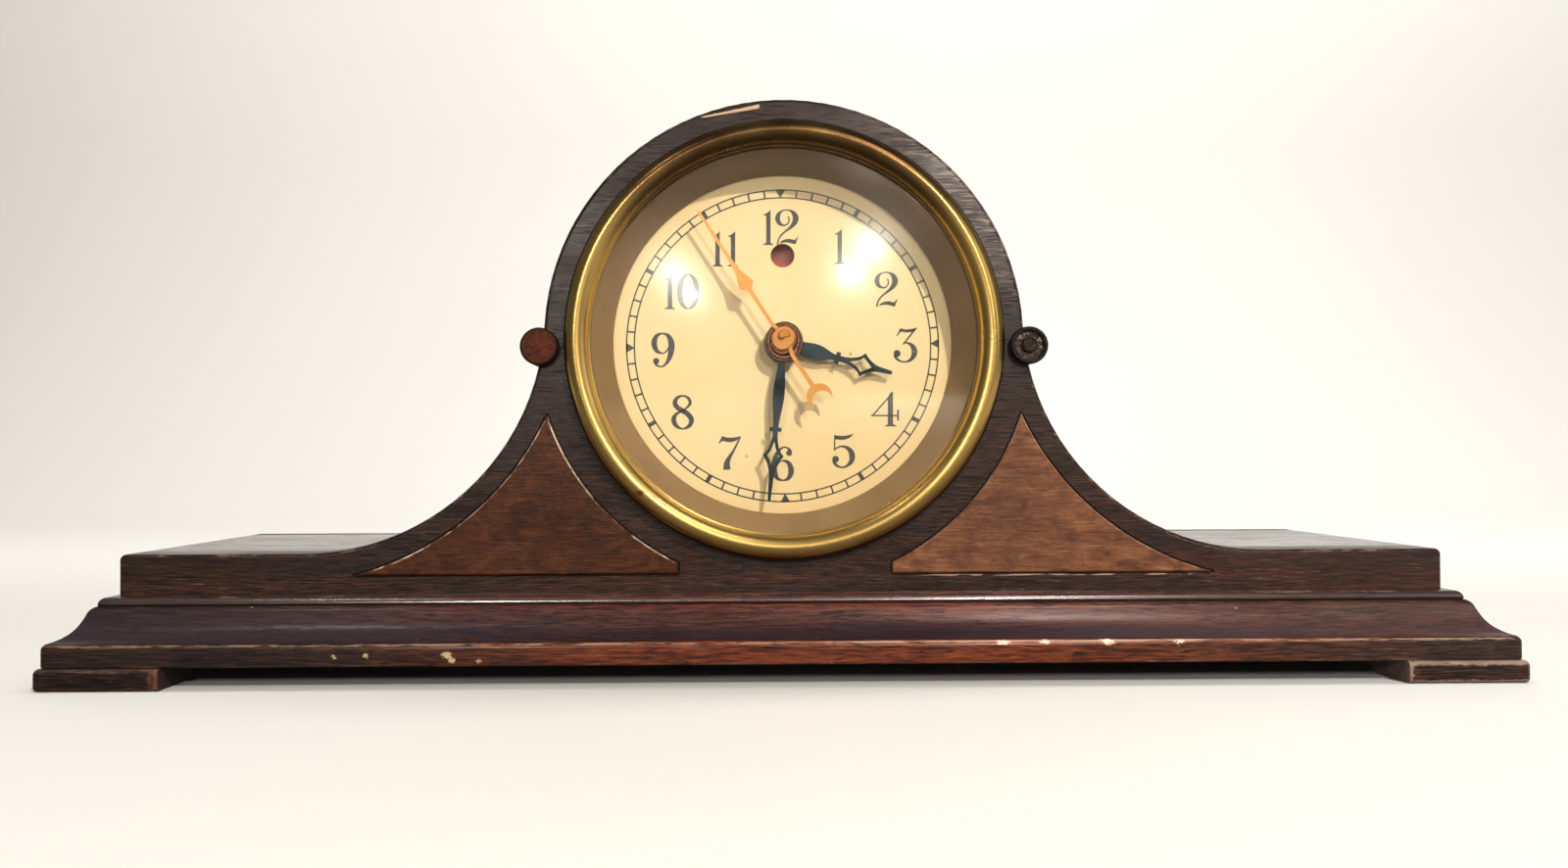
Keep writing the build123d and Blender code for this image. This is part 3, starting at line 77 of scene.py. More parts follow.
# ---------------------------------------------------------------------------
# node materials
# ---------------------------------------------------------------------------
class Shade:
    """One procedural material, put together from short calls. Lengths in mm."""

    def __init__(self, name):
        self.mat = bpy.data.materials.new(name)
        self.mat.use_nodes = True
        self.tree = self.mat.node_tree
        self.tree.nodes.clear()
        self.out = self.tree.nodes.new("ShaderNodeOutputMaterial")
        self.bsdf = self.tree.nodes.new("ShaderNodeBsdfPrincipled")
        self.tree.links.new(self.bsdf.outputs[0], self.out.inputs[0])
        self.coords = self.tree.nodes.new("ShaderNodeTexCoord")
        self.relief = None

    def feed(self, socket, value):
        if isinstance(value, bpy.types.NodeSocket):
            self.tree.links.new(value, socket)
        elif hasattr(socket.default_value, "__len__"):
            value = tuple(value)
            size = len(socket.default_value)
            socket.default_value = value + (1.0,) * (size - len(value))
        else:
            socket.default_value = value

    def node(self, kind, inputs=(), **props):
        n = self.tree.nodes.new("ShaderNode" + kind)
        for k, v in props.items():
            setattr(n, k, v)
        for k, v in dict(inputs).items():
            self.feed(n.inputs[k], v)
        return n

    def set(self, **values):
        for k, v in values.items():
            self.feed(self.bsdf.inputs[k.replace("_", " ")], v)

    def at(self, sx, sy, sz, shift=(0.0, 0.0, 0.0)):
        """Object coordinates in mm, times a frequency for each direction."""
        n = self.node("VectorMath", {0: self.coords.outputs["Object"], 1: (1000 * sx, 1000 * sy, 1000 * sz), 2: shift}, operation="MULTIPLY_ADD")
        return n.outputs[0]

    def xyz(self, vec=None):
        return self.node("SeparateXYZ", {0: self.at(1, 1, 1) if vec is None else vec}).outputs

    def facing(self):
        return self.node("SeparateXYZ", {0: self.coords.outputs["Normal"]}).outputs

    def noise(self, vec, detail=3.0, rough=0.55, distort=0.0, colour=False):
        n = self.node("TexNoise", {"Vector": vec, "Scale": 1.0, "Detail": detail, "Roughness": rough, "Distortion": distort})
        return n.outputs["Color" if colour else "Fac"]

    def cells(self, vec, feature="F1", random=1.0):
        n = self.node("TexVoronoi", {"Vector": vec, "Scale": 1.0, "Randomness": random}, feature=feature)
        return n.outputs["Distance"]

    def calc(self, op, a, b=0.0, c=0.0, clamp=False):
        n = self.node("Math", {0: a, 1: b, 2: c}, operation=op)
        n.use_clamp = clamp
        return n.outputs[0]

    def step(self, x, low, high, to_low=0.0, to_high=1.0):
        """Smooth step; low may be above high for a falling edge."""
        if low > high:
            low, high, to_low, to_high = high, low, to_high, to_low
        n = self.node("MapRange", {0: x, 1: low, 2: high, 3: to_low, 4: to_high}, interpolation_type="SMOOTHSTEP", clamp=True)
        return n.outputs[0]

    def mix(self, fac, a, b, blend="MIX"):
        n = self.node("Mix", data_type="RGBA", blend_type=blend)
        n.clamp_factor = True
        for i, v in ((0, fac), (6, a), (7, b)):
            self.feed(n.inputs[i], v)
        return n.outputs[2]

    def ramp(self, fac, stops, smooth=False):
        n = self.node("ValToRGB", {0: fac})
        e = n.color_ramp.elements
        n.color_ramp.interpolation = "EASE" if smooth else "LINEAR"
        while len(e) < len(stops):
            e.new(0.5)
        for el, (pos, col) in zip(e, stops):
            el.position = pos
            el.color = tuple(col) + (1.0,)
        return n.outputs[0]

    def bump(self, height, depth, strength=1.0):
        """Adds relief of this depth in mm to what is there already."""
        n = self.node("Bump", {"Strength": strength, "Distance": depth * MM, "Height": height})
        if self.relief is not None:
            self.feed(n.inputs["Normal"], self.relief)
        self.relief = n.outputs[0]
        self.feed(self.bsdf.inputs["Normal"], self.relief)

    def rounding(self, curved=False):
        """1 on a rounded edge between two flat faces, 0 on the faces.
        curved leaves out edges seen in the outline of the front, for boards with a swept outline."""
        n = self.facing()
        if curved:
            level = self.calc("POWER", self.calc("SUBTRACT", 1.0, self.calc("MULTIPLY", n[1], n[1]), clamp=True), 0.5)
            return self.calc("MULTIPLY", self.calc("ABSOLUTE", self.calc("MULTIPLY", n[1], level)), 2.0)
        pairs = [self.calc("ABSOLUTE", self.calc("MULTIPLY", n[a], n[b])) for a, b in ((0, 1), (1, 2), (0, 2))]
        return self.calc("MULTIPLY", self.calc("MAXIMUM", self.calc("MAXIMUM", pairs[0], pairs[1]), pairs[2]), 2.0)


def lin(r, g, b):
    """Linear colour from 0-255 display values."""
    return tuple((c / 12.92 if c <= 0.04045 else ((c + 0.055) / 1.055) ** 2.4) for c in (r / 255, g / 255, b / 255))


GRAIN = {"x": (1, 0, 0), "y": (0, 1, 0), "z": (0, 0, 1), "bent": (1, 0, 1)}


DEEP = 0.72                                     # how far the stain darkens every board


def wood(name, grain="x", seed=0.0, dark=(0.0075, 0.0045, 0.0038), mid=(0.038, 0.0165, 0.0105), light=(0.125, 0.045, 0.024),
         tone=0.45, contrast=1.0, gloss=0.34, edge=0.6, coat=0.12, pale=0.5, wear_size=0.11, spread_to=None, region=None, wear_tone=None, curved=False):
    """Old mahogany under worn satin lacquer. tone shifts it from near black to red-brown.
    spread_to is a second set of dark, middle and light, laid in where region(s, stretched) is 1."""
    s = Shade(name)
    along = GRAIN[grain]
    dark, mid, light = [tuple(DEEP * c for c in t) for t in (dark, mid, light)]
    spread_to = [tuple(DEEP * c for c in t) for t in spread_to] if spread_to else None

    def stretched(across, ratio, off):
        return s.at(*[across * (ratio if a else 1.0) for a in along], shift=(seed + off, seed * 1.7 + off, seed * 0.6 - off))

    def spread(n, low=0.30, high=0.70):
        return s.calc("SUBTRACT", s.step(n, low, high), 0.5)

    broad = s.noise(stretched(0.022, 0.16, 3.0), detail=2.0)
    streak = s.noise(stretched(0.26, 0.03, 11.0), detail=5.0, rough=0.62, distort=0.35)
    fibre = s.noise(stretched(2.2, 0.045, 23.0), detail=4.0, rough=0.66)
    v = s.calc("MULTIPLY_ADD", spread(streak), 0.34 * contrast, tone)
    v = s.calc("MULTIPLY_ADD", s.calc("SUBTRACT", broad, 0.5), 0.7, v)
    v = s.calc("MULTIPLY_ADD", spread(fibre), 0.92 * contrast, v)
    s.value = v
    col = s.ramp(v, [(0.06, dark), (0.46, mid), (1.0, light)])
    if spread_to:
        col = s.mix(region(s, stretched), col, s.ramp(v, list(zip((0.06, 0.46, 1.0), spread_to))))
    # open pores: short dark dashes along the grain
    pores = s.step(s.noise(stretched(1.7, 0.085, 41.0), detail=1.0), 0.565, 0.635)
    dashes = s.step(s.noise(stretched(0.16, 0.12, 57.0), detail=2.0), 0.36, 0.60, 0.25, 0.9)
    pores = s.calc("MULTIPLY", pores, dashes)
    col = s.mix(pores, col, tuple(c * 0.45 for c in dark))
    # painted sheen: thin pale streaks along the grain, light caught on raised fibres
    painted_fibre_sheen = s.step(s.noise(stretched(2.6, 0.06, 71.0), detail=2.0), 0.60, 0.74)
    painted_fibre_sheen = s.calc("MULTIPLY", painted_fibre_sheen, s.step(s.noise(stretched(0.05, 0.25, 83.0), detail=2.0), 0.42, 0.62))
    col = s.mix(s.calc("MULTIPLY", painted_fibre_sheen, pale), col, lin(118, 98, 86))
    # pin-head chips in the lacquer
    chips = s.step(s.cells(s.at(0.115, 0.115, 0.115, (seed, 3.0, seed))), 0.055, 0.025)
    chips = s.calc("MULTIPLY", chips, s.step(s.noise(s.at(0.02, 0.02, 0.02, (seed, 6.0, 1.0)), detail=1.0), 0.50, 0.58))
    col = s.mix(s.calc("MULTIPLY", chips, 0.55), col, lin(196, 176, 150))
    # lacquer worn through on the rounded edges
    worn = s.rounding(curved)
    nick = s.noise(s.at(wear_size, 0.3, 0.3, (seed, 5.0, 9.0)), detail=5.0, rough=0.72)
    wear = s.calc("MULTIPLY", s.step(worn, 0.45, 0.9), s.step(nick, 0.52, 0.60))
    bare = s.mix(s.noise(s.at(0.5, 0.5, 0.5, (seed, 0, 0)), detail=2.0), *(wear_tone or (lin(112, 56, 34), lin(176, 116, 76))))
    col = s.mix(s.calc("MULTIPLY", wear, edge), col, bare)
    s.colour, s.wear, s.seed, s.stretched, s.pores = col, wear, seed, stretched, pores
    smudge = s.noise(s.at(0.03, 0.06, 0.06, (seed + 7, 2, 3)), detail=3.0)
    rough = s.calc("ADD", s.step(smudge, 0.3, 0.75, gloss - 0.06, gloss + 0.12), s.calc("MULTIPLY", pores, 0.22))
    rough = s.calc("ADD", rough, s.calc("MULTIPLY", spread(fibre), 0.16))
    rough = s.calc("ADD", rough, s.calc("MULTIPLY", wear, 0.22), clamp=True)
    s.rough = rough
    s.set(Base_Color=col, Roughness=rough)
    s.set(Coat_Weight=coat, Coat_Roughness=0.2, Specular_IOR_Level=0.32)
    s.bump(pores, -0.07, 0.8)
    s.bump(fibre, 0.07, 0.6)
    s.bump(s.noise(stretched(0.09, 0.2, 13.0), detail=2.0), 0.25, 0.35)
    return s


def recolour(s, col):
    s.colour = col
    s.set(Base_Color=col)


# front panel: painted shade over the arch, at the ends and under the dial, redder low down, a splinter lost at the top
# of the arch
RED = (lin(58, 24, 16), lin(108, 50, 32), lin(160, 92, 62))


def front_red(s, stretched):
    x, y, z = s.xyz()
    low = s.calc("MULTIPLY", s.step(z, 49.0, 36.0), s.step(s.calc("ABSOLUTE", s.calc("SUBTRACT", x, 70.0)), 200.0, 70.0))
    return s.calc("MULTIPLY", low, s.step(s.noise(stretched(0.2, 0.05, 91.0), detail=4.0), 0.34, 0.62, 0.0, 0.34))


front = wood("mahogany_front", "x", 1.3, tone=0.42, contrast=0.8, edge=0.6, wear_tone=(lin(96, 76, 62), lin(176, 150, 126)), spread_to=RED, region=front_red, curved=True)
x, y, z = front.xyz()
# painted shade: darker over the top of the arch (most on its left), at the ends beyond the inlays and in the band under
# the dial
painted_shade = front.calc("MULTIPLY", front.step(z, 60.0, 90.0), front.step(x, 60.0, -10.0, 0.5, 1.3))
painted_shade = front.calc("MAXIMUM", painted_shade, front.calc("MULTIPLY", front.step(front.calc("ABSOLUTE", x), 105.0, 150.0), front.step(z, 35.0, 37.5)))
painted_shade = front.calc("MAXIMUM", painted_shade, front.calc("MULTIPLY", front.step(front.calc("ABSOLUTE", x), 60.0, 30.0), front.step(z, 56.0, 44.0, 0.0, 0.8)))
recolour(front, front.mix(front.calc("MULTIPLY", painted_shade, 0.42), front.colour, lin(30, 22, 20)))
# painted sheen: pale streaks high on the right of the arch
arch_painted_sheen = front.calc("MULTIPLY", front.step(x, 20.0, 60.0), front.step(z, 120.0, 150.0))
arch_painted_sheen = front.calc("MULTIPLY", arch_painted_sheen, front.step(front.noise(front.stretched(1.8, 0.07, 97.0), detail=3.0), 0.50, 0.62))
recolour(front, front.mix(front.calc("MULTIPLY", arch_painted_sheen, 0.66), front.colour, lin(144, 126, 112)))
along = front.calc("MULTIPLY_ADD", x, 1 / 20.2, 28.5 / 20.2, clamp=True)
middle = front.calc("MULTIPLY_ADD", along, 3.8, 188.9)
ragged = front.calc("MULTIPLY", front.calc("SUBTRACT", front.noise(front.at(0.5, 0.5, 1.2), detail=3.0), 0.5), 0.5)
off = front.calc("ABSOLUTE", front.calc("ADD", front.calc("SUBTRACT", z, middle), ragged))
lost = front.step(front.calc("SUBTRACT", off, front.calc("MULTIPLY_ADD", along, 0.5, 0.25)), 0.12, -0.12)
lost = front.calc("MULTIPLY", lost, front.calc("MULTIPLY", front.step(x, -28.4, -26.5), front.step(front.calc("MULTIPLY_ADD", ragged, 4.0, x), -7.6, -8.6)))
bare = front.mix(front.noise(front.at(0.08, 1.5, 1.5), detail=3.0), lin(166, 124, 96), lin(226, 194, 164))
recolour(front, front.mix(lost, front.colour, bare))
front.bump(lost, -0.5)
# painted shade: dark in the bottom of the groove round the inlays
painted_groove_shade = front.step(front.calc("ABSOLUTE", front.calc("SUBTRACT", y, -53.75 + 0.9)), 0.2, 0.1)
recolour(front, front.mix(painted_groove_shade, front.colour, lin(20, 11, 8)))
sill = front.calc("MULTIPLY", front.step(front.calc("ABSOLUTE", front.calc("SUBTRACT", z, 34.15)), 0.34, 0.16), front.step(front.noise(front.at(0.10, 0.3, 0.8, (5, 1, 5)), detail=5.0, rough=0.75), 0.49, 0.57))
sill = front.calc("MULTIPLY", sill, front.calc("MULTIPLY", front.step(x, 34.0, 60.0), front.step(x, 148.0, 130.0)))
recolour(front, front.mix(front.calc("MULTIPLY", sill, 0.7), front.colour, lin(196, 162, 140)))

woods = {
    "front_panel": front,
    "back_panel": wood("mahogany_back", "x", 9.1, tone=0.40, gloss=0.5, coat=0.05, curved=True),
    "arch_skin": wood("mahogany_arch", "bent", 4.4, tone=0.42, curved=True),
    "shoulder_skin_left": wood("mahogany_shoulder_left", "x", 6.2, tone=0.46, coat=0.6, gloss=0.30, curved=True),
    "shoulder_skin_right": wood("mahogany_shoulder_right", "x", 7.9, tone=0.48, coat=0.6, gloss=0.30, curved=True),
    "end_board_left": wood("mahogany_end_left", "y", 2.2, tone=0.42),
    "end_board_right": wood("mahogany_end_right", "y", 3.7, tone=0.45),
    "base_rear_rail": wood("mahogany_rail", "x", 5.9, tone=0.40, gloss=0.48, coat=0.05),
    "base_moulding_left": wood("mahogany_moulding_left", "y", 8.8, tone=0.42, edge=0.0),
    "base_moulding_right": wood("mahogany_moulding_right", "y", 12.1, tone=0.45, edge=0.0),
    # painted light: the right front foot is toned lighter than the left one and its worn borders show more, for the
    # brighter light on the right
    "foot_front_left": wood("mahogany_foot_a", "x", 14.1, tone=0.20, edge=0.35, wear_size=0.05, wear_tone=(lin(78, 50, 40), lin(138, 104, 86))),
    "foot_front_right": wood("mahogany_foot_b", "x", 15.6, tone=0.48, edge=0.5, wear_size=0.05, wear_tone=(lin(92, 66, 56), lin(164, 138, 122))),
    "foot_rear_left": wood("mahogany_foot_c", "x", 16.4, tone=0.38, edge=0.8),
    "foot_rear_right": wood("mahogany_foot_d", "x", 17.3, tone=0.40, edge=0.8),
}
# the front feet are rubbed bare at their inner ends
for name, inner_x, side in (("foot_front_left", -201.05, -1), ("foot_front_right", 201.05, 1)):
    s = woods[name]
    x, y, z = s.xyz()
    near = s.calc("MULTIPLY", s.calc("SUBTRACT", x, inner_x), side)
    near = s.calc("MULTIPLY_ADD", s.noise(s.at(0.5, 0.3, 0.25, (3, side, 1)), detail=4.0, rough=0.7), -9.0, near)
    rub = s.calc("MULTIPLY", s.step(near, -1.2, -4.2), s.step(y, -70.6, -71.8))
    tint = s.mix(s.noise(s.at(0.9, 0.4, 0.3, (1, 2, side)), detail=3.0), lin(82, 44, 34), lin(140, 86, 68))
    recolour(s, s.mix(s.calc("MULTIPLY", rub, 0.22 if side > 0 else 0.62), s.colour, tint))
    ends = s.calc("SUBTRACT", 20.1, s.calc("ABSOLUTE", s.calc("SUBTRACT", s.calc("MULTIPLY", x, side), 221.2)))
    border = s.calc("MINIMUM", s.calc("MINIMUM", z, s.calc("SUBTRACT", 7.2, z)), ends)
    border = s.step(s.calc("MULTIPLY_ADD", s.noise(s.at(0.30, 0.5, 0.8, (side, 4, 1)), detail=4.0, rough=0.7), -2.8, border), 0.1, -0.7)
    recolour(s, s.mix(s.calc("MULTIPLY", border, 0.8 if side > 0 else 0.08), s.colour, s.mix(s.noise(s.at(0.4, 0.4, 0.4), detail=2.0), lin(92, 68, 58), lin(176, 152, 138))))

# front moulding and slab: stained dark at the ends, red-brown in the middle
def cove_red(s, stretched):
    x, y, z = s.xyz()
    mask = s.calc("MULTIPLY", s.step(s.calc("ABSOLUTE", s.calc("SUBTRACT", x, 5.0)), 215.0, 40.0), s.step(s.noise(stretched(0.10, 0.06, 31.0), detail=4.0, rough=0.6), 0.26, 0.56))
    return s.calc("MULTIPLY", mask, s.step(z, 16.5, 20.5, 0.0, 0.9))


mould = wood("mahogany_moulding_front", "x", 10.4, tone=0.46, contrast=0.72, edge=0.0, gloss=0.28, coat=0.6, spread_to=(lin(64, 28, 25), lin(114, 56, 46), lin(160, 94, 78)), region=cove_red)
x, y, z = mould.xyz()
# painted reflection: a bluish tint on the lower cove, which faces up
painted_blue_reflection = mould.calc("MULTIPLY", mould.step(z, 21.5, 17.0), mould.step(mould.noise(mould.at(0.008, 0.05, 0.05), detail=2.0), 0.25, 0.6, 0.4, 1.0))
recolour(mould, mould.mix(mould.calc("MULTIPLY", painted_blue_reflection, 0.6), mould.colour, lin(44, 32, 42)))
far = mould.calc("MULTIPLY", mould.step(x, -30.0, -150.0), mould.step(z, 25.5, 24.0))
recolour(mould, mould.mix(mould.calc("MULTIPLY", far, 0.5), mould.colour, lin(42, 35, 42)))
# painted shade: a dark line in the quirk under the bead
painted_quirk_shade = mould.step(mould.calc("ABSOLUTE", mould.calc("SUBTRACT", z, 25.8)), 0.62, 0.30)
recolour(mould, mould.mix(mould.calc("MULTIPLY", painted_quirk_shade, 0.85), mould.colour, lin(22, 13, 11)))
bead = mould.step(z, 26.1, 26.5)
recolour(mould, mould.mix(mould.calc("MULTIPLY", bead, 0.38), mould.colour, lin(40, 26, 22)))
# painted sheen: a grey sheen on the cove towards the right
cove_painted_sheen = mould.calc("MULTIPLY", mould.step(x, 40.0, 130.0), mould.step(z, 25.3, 24.0))
recolour(mould, mould.mix(mould.calc("MULTIPLY", cove_painted_sheen, 0.12), mould.colour, lin(112, 92, 90)))
mould.set(Coat_Weight=mould.calc("MULTIPLY_ADD", bead, 0.8, 0.10), Coat_Roughness=0.21, Coat_IOR=2.2)


def line_at(s, z, height, half, chance, seed):
    """Broken line along an arris at this height."""
    broken = s.step(s.noise(s.at(0.06, 0.2, 0.5, (seed, 1.0, seed)), detail=5.0, rough=0.75), chance, chance + 0.07)
    return s.calc("MULTIPLY", broken, s.step(s.calc("ABSOLUTE", s.calc("SUBTRACT", z, height)), half, half * 0.45))


rubbed = line_at(mould, z, 28.3, 0.34, 0.55, 2.0)
recolour(mould, mould.mix(mould.calc("MULTIPLY", rubbed, 0.35), mould.colour, lin(168, 132, 112)))
woods["base_moulding_front"] = mould

def slab_red(s, stretched):
    x, y, z = s.xyz()
    mask = s.calc("MULTIPLY", s.step(s.calc("ABSOLUTE", s.calc("SUBTRACT", x, 20.0)), 200.0, 60.0), s.step(y, 10.0, -30.0))
    return s.calc("MULTIPLY", mask, s.step(s.noise(stretched(0.16, 0.05, 33.0), detail=4.0, rough=0.62), 0.22, 0.50, 0.35, 1.0))


slab = wood("mahogany_slab", "x", 13.0, tone=0.46, contrast=1.0, edge=0.32, wear_size=0.06, coat=0.4, spread_to=(lin(56, 22, 12), lin(112, 48, 25), lin(164, 80, 40)), region=slab_red)
x, y, z = slab.xyz()
rubbed = slab.calc("MAXIMUM", line_at(slab, z, 14.15, 0.45, 0.45, 4.0), slab.calc("MULTIPLY", line_at(slab, z, 7.6, 0.4, 0.53, 9.0), 0.5))
recolour(slab, slab.mix(slab.calc("MULTIPLY", rubbed, 0.62), slab.colour, slab.mix(slab.noise(slab.at(0.2, 0.2, 0.2), detail=2.0), lin(132, 88, 66), lin(190, 158, 134))))
# painted highlight: a bright line along the rounded top edge of the slab on the right
painted_edge_highlight = slab.calc("MULTIPLY", slab.step(slab.calc("ABSOLUTE", slab.calc("SUBTRACT", z, 14.35)), 0.32, 0.12), slab.calc("MULTIPLY", slab.step(x, -10.0, 40.0), slab.step(x, 160.0, 120.0)))
painted_edge_highlight = slab.calc("MULTIPLY", painted_edge_highlight, slab.step(slab.noise(slab.at(0.08, 0.3, 0.3, (2, 7, 7)), detail=4.0), 0.34, 0.52, 0.2, 1.0))
recolour(slab, slab.mix(slab.calc("MULTIPLY", painted_edge_highlight, 0.55), slab.colour, lin(204, 168, 148)))
recolour(slab, slab.mix(slab.step(x, -70.0, -150.0, 0.0, 0.34), slab.colour, lin(24, 16, 13)))
# flakes of lacquer lost from the front of the slab
for fx, fz, fr, depth in ((-145.4, 10.5, 0.6, 0.8), (-135.3, 10.9, 0.8, 0.8), (-109.4, 10.8, 1.5, 0.95), (-107.6, 9.2, 1.0, 0.9), (-99.2, 8.9, 0.7, 0.7), (69.5, 13.9, 1.0, 1.0), (83.2, 14.0, 0.8, 1.0), (103.7, 14.0, 1.2, 1.0), (127.0, 13.9, 0.7, 0.9)):
    d = slab.calc("POWER", slab.calc("ADD", slab.calc("POWER", slab.calc("MULTIPLY", slab.calc("SUBTRACT", x, fx), 0.75 if fx < 0 else 0.42), 2.0), slab.calc("POWER", slab.calc("SUBTRACT", z, fz), 2.0)), 0.5)
    ragged = slab.calc("MULTIPLY_ADD", slab.calc("SUBTRACT", slab.noise(slab.at(1.1, 1.1, 1.1, (fx, 0, fz)), detail=4.0, rough=0.75), 0.5), 3.6, d)
    hole = slab.calc("MULTIPLY", slab.step(ragged, fr * 0.9, fr * 0.55), slab.calc("MULTIPLY", slab.step(d, fr * 1.6, fr * 1.2), slab.step(y, -50.0, -62.0)))
    recolour(slab, slab.mix(slab.calc("MULTIPLY", hole, depth * 0.8), slab.colour, lin(214, 188, 140) if fx < 0 else lin(236, 214, 196)))
woods["base_board"] = slab

# burl inlays: mottled figure crossed by fine level grain
def burl(name, seed, lift, spotted, tones, arris, cloudy, open_grain):
    s = Shade(name)
    x, y, z = s.xyz()
    warp = s.noise(s.at(0.05, 0.05, 0.05, (seed, 0, seed)), detail=3.0, colour=True)
    v0 = s.node("VectorMath", {0: warp, 1: (1.4, 1.4, 1.4), 2: s.at(0.09, 0.09, 0.16, (seed, seed, 0))}, operation="MULTIPLY_ADD").outputs[0]
    figure = s.noise(v0, detail=6.0, rough=0.66, distort=0.9)
    fibre = s.noise(s.at(0.10, 1.5, 1.5, (seed, 1, 4)), detail=3.0, rough=0.6)
    pores = s.step(s.noise(s.at(0.35, 2.6, 2.6, (seed, 7, 2)), detail=1.0), 0.545, 0.64)
    v = s.calc("MULTIPLY_ADD", s.calc("SUBTRACT", s.step(fibre, 0.3, 0.7), 0.5), 0.22, figure)
    col = s.ramp(v, [(at, tuple(lift * c for c in tone)) for at, tone in zip((0.28, 0.50, 0.74), tones)])
    col = s.mix(s.calc("MULTIPLY", pores, open_grain), col, tuple(lift * c for c in lin(40, 20, 12)))
    # eyes and whorls, gathered low down
    knots = s.cells(s.node("VectorMath", {0: warp, 1: (0.8, 0.8, 0.8), 2: s.at(0.24, 0.24, 0.30, (seed, 2, seed))}, operation="MULTIPLY_ADD").outputs[0])
    whorl = s.step(s.calc("ABSOLUTE", s.calc("SUBTRACT", knots, 0.26)), 0.10, 0.02)
    clump = s.calc("MULTIPLY", s.step(s.noise(s.at(0.045, 0.045, 0.06, (seed, 9, 3)), detail=3.0), 0.42, 0.60), s.step(z, 66.0, 44.0, 0.25, 1.0))
    eyes = s.calc("MULTIPLY", s.calc("MAXIMUM", s.step(knots, 0.15, 0.06), s.calc("MULTIPLY", whorl, 0.6)), clump)
    col = s.mix(s.calc("MULTIPLY", eyes, spotted), col, lin(40, 21, 13))
    # a darker cloud in the middle of the panel
    away = s.calc("POWER", s.calc("ADD", s.calc("POWER", s.calc("SUBTRACT", s.calc("ABSOLUTE", x), 76.0), 2.0), s.calc("POWER", s.calc("MULTIPLY", s.calc("SUBTRACT", z, 53.0), 1.2), 2.0)), 0.5)
    away = s.calc("MULTIPLY_ADD", s.noise(s.at(0.05, 0.05, 0.05, (seed, 5, 5)), detail=3.0), 22.0, away)
    col = s.mix(s.step(away, 34.0, 14.0, 0.0, cloudy), col, tuple(lift * c for c in lin(50, 30, 21)))
    # painted highlight: pale lines along the inlays' upper arrises, broken by nicks
    edge = s.calc("MULTIPLY", s.step(s.rounding(), 0.62, 0.95), s.calc("MULTIPLY", s.step(z, 35.9, 36.8), s.step(s.calc("ABSOLUTE", x), 36.9, 37.8)))
    nick = s.step(s.noise(s.at(0.12, 0.3, 0.12, (seed, 2, 2)), detail=4.0, rough=0.7), 0.40, 0.56)
    col = s.mix(s.calc("MULTIPLY", s.calc("MULTIPLY", edge, nick), arris), col, lin(222, 194, 168))
    s.set(Base_Color=col, Roughness=s.step(s.noise(s.at(0.05, 0.05, 0.05), detail=3.0), 0.3, 0.7, 0.30, 0.46))
    s.set(Coat_Weight=0.12, Coat_Roughness=0.2, Specular_IOR_Level=0.30)
    s.bump(fibre, 0.05, 0.5)
    s.bump(pores, -0.04, 0.5)
    s.bump(figure, 0.08, 0.3)
    return s


woods["inlay_left"] = burl("burl_left", 3.0, 0.40, 0.9, (lin(62, 27, 10), lin(106, 52, 20), lin(144, 82, 34)), 0.85, 0.2, 0.46)
woods["inlay_right"] = burl("burl_right", 21.0, 1.16, 0.40, (lin(74, 44, 29), lin(104, 63, 40), lin(134, 88, 58)), 0.16, 0.40, 0.26)


# dowels: end grain on the left one, dark lacquer on the turned right one
def dowel(name, cx, inner, outer, seed, gloss, shine, crust):
    s = Shade(name)
    x, y, z = s.xyz()
    r = s.calc("POWER", s.calc("ADD", s.calc("POWER", s.calc("SUBTRACT", x, cx), 2.0), s.calc("POWER", s.calc("SUBTRACT", z, 111.4), 2.0)), 0.5)
    speck = s.noise(s.at(1.5, 0.06, 1.5, (seed, 0, 0)), detail=3.0, rough=0.65)
    blot = s.noise(s.at(0.28, 0.05, 0.28, (seed, 4, 0)), detail=3.0)
    face = s.ramp(s.calc("MULTIPLY_ADD", s.calc("SUBTRACT", speck, 0.5), 0.9, blot), [(0.28, tuple(c * 0.35 for c in inner)), (0.52, inner), (0.8, tuple(min(1, c * 1.9) for c in inner))])
    rim = s.step(s.calc("MULTIPLY_ADD", blot, 1.0, r), 5.6, 6.5)
    s.set(Base_Color=s.mix(rim, face, outer), Roughness=s.calc("ADD", gloss, s.calc("MULTIPLY", speck, 0.3), clamp=True))
    s.set(Coat_Weight=0.0, Specular_IOR_Level=shine)
    s.bump(speck, crust, 0.8)
    return s


woods["side_dowel_left"] = dowel("dowel_worn", -82.2, lin(74, 33, 18), lin(38, 19, 12), 3.0, 0.42, 0.16, 0.08)
button = dowel("dowel_dark", 82.2, lin(38, 23, 14), lin(16, 11, 8), 8.0, 0.08, 0.26, 0.30)
x, y, z = button.xyz()
u, v = button.calc("SUBTRACT", x, 82.2), button.calc("SUBTRACT", z, 111.4)
r = button.calc("POWER", button.calc("ADD", button.calc("MULTIPLY", u, u), button.calc("MULTIPLY", v, v)), 0.5)
# painted glints: bright specks round the lacquered button, most on its upper right
painted_glint = button.calc("MULTIPLY", button.step(button.calc("ABSOLUTE", button.calc("SUBTRACT", r, 3.9)), 1.1, 0.3), button.step(button.noise(button.at(1.6, 0.1, 1.6, (4, 1, 9)), detail=2.0), 0.54, 0.64))
painted_glint = button.calc("MULTIPLY", painted_glint, button.step(button.calc("ADD", v, button.calc("MULTIPLY", u, 0.3)), -3.5, 3.0, 0.25, 1.0))
button.set(Base_Color=button.mix(button.calc("MULTIPLY", painted_glint, 0.8), button.bsdf.inputs["Base Color"].links[0].from_socket, lin(176, 158, 136)))
woods["side_dowel_right"] = button
for name, s in woods.items():
    nodes[name]["look"] = s.mat.name


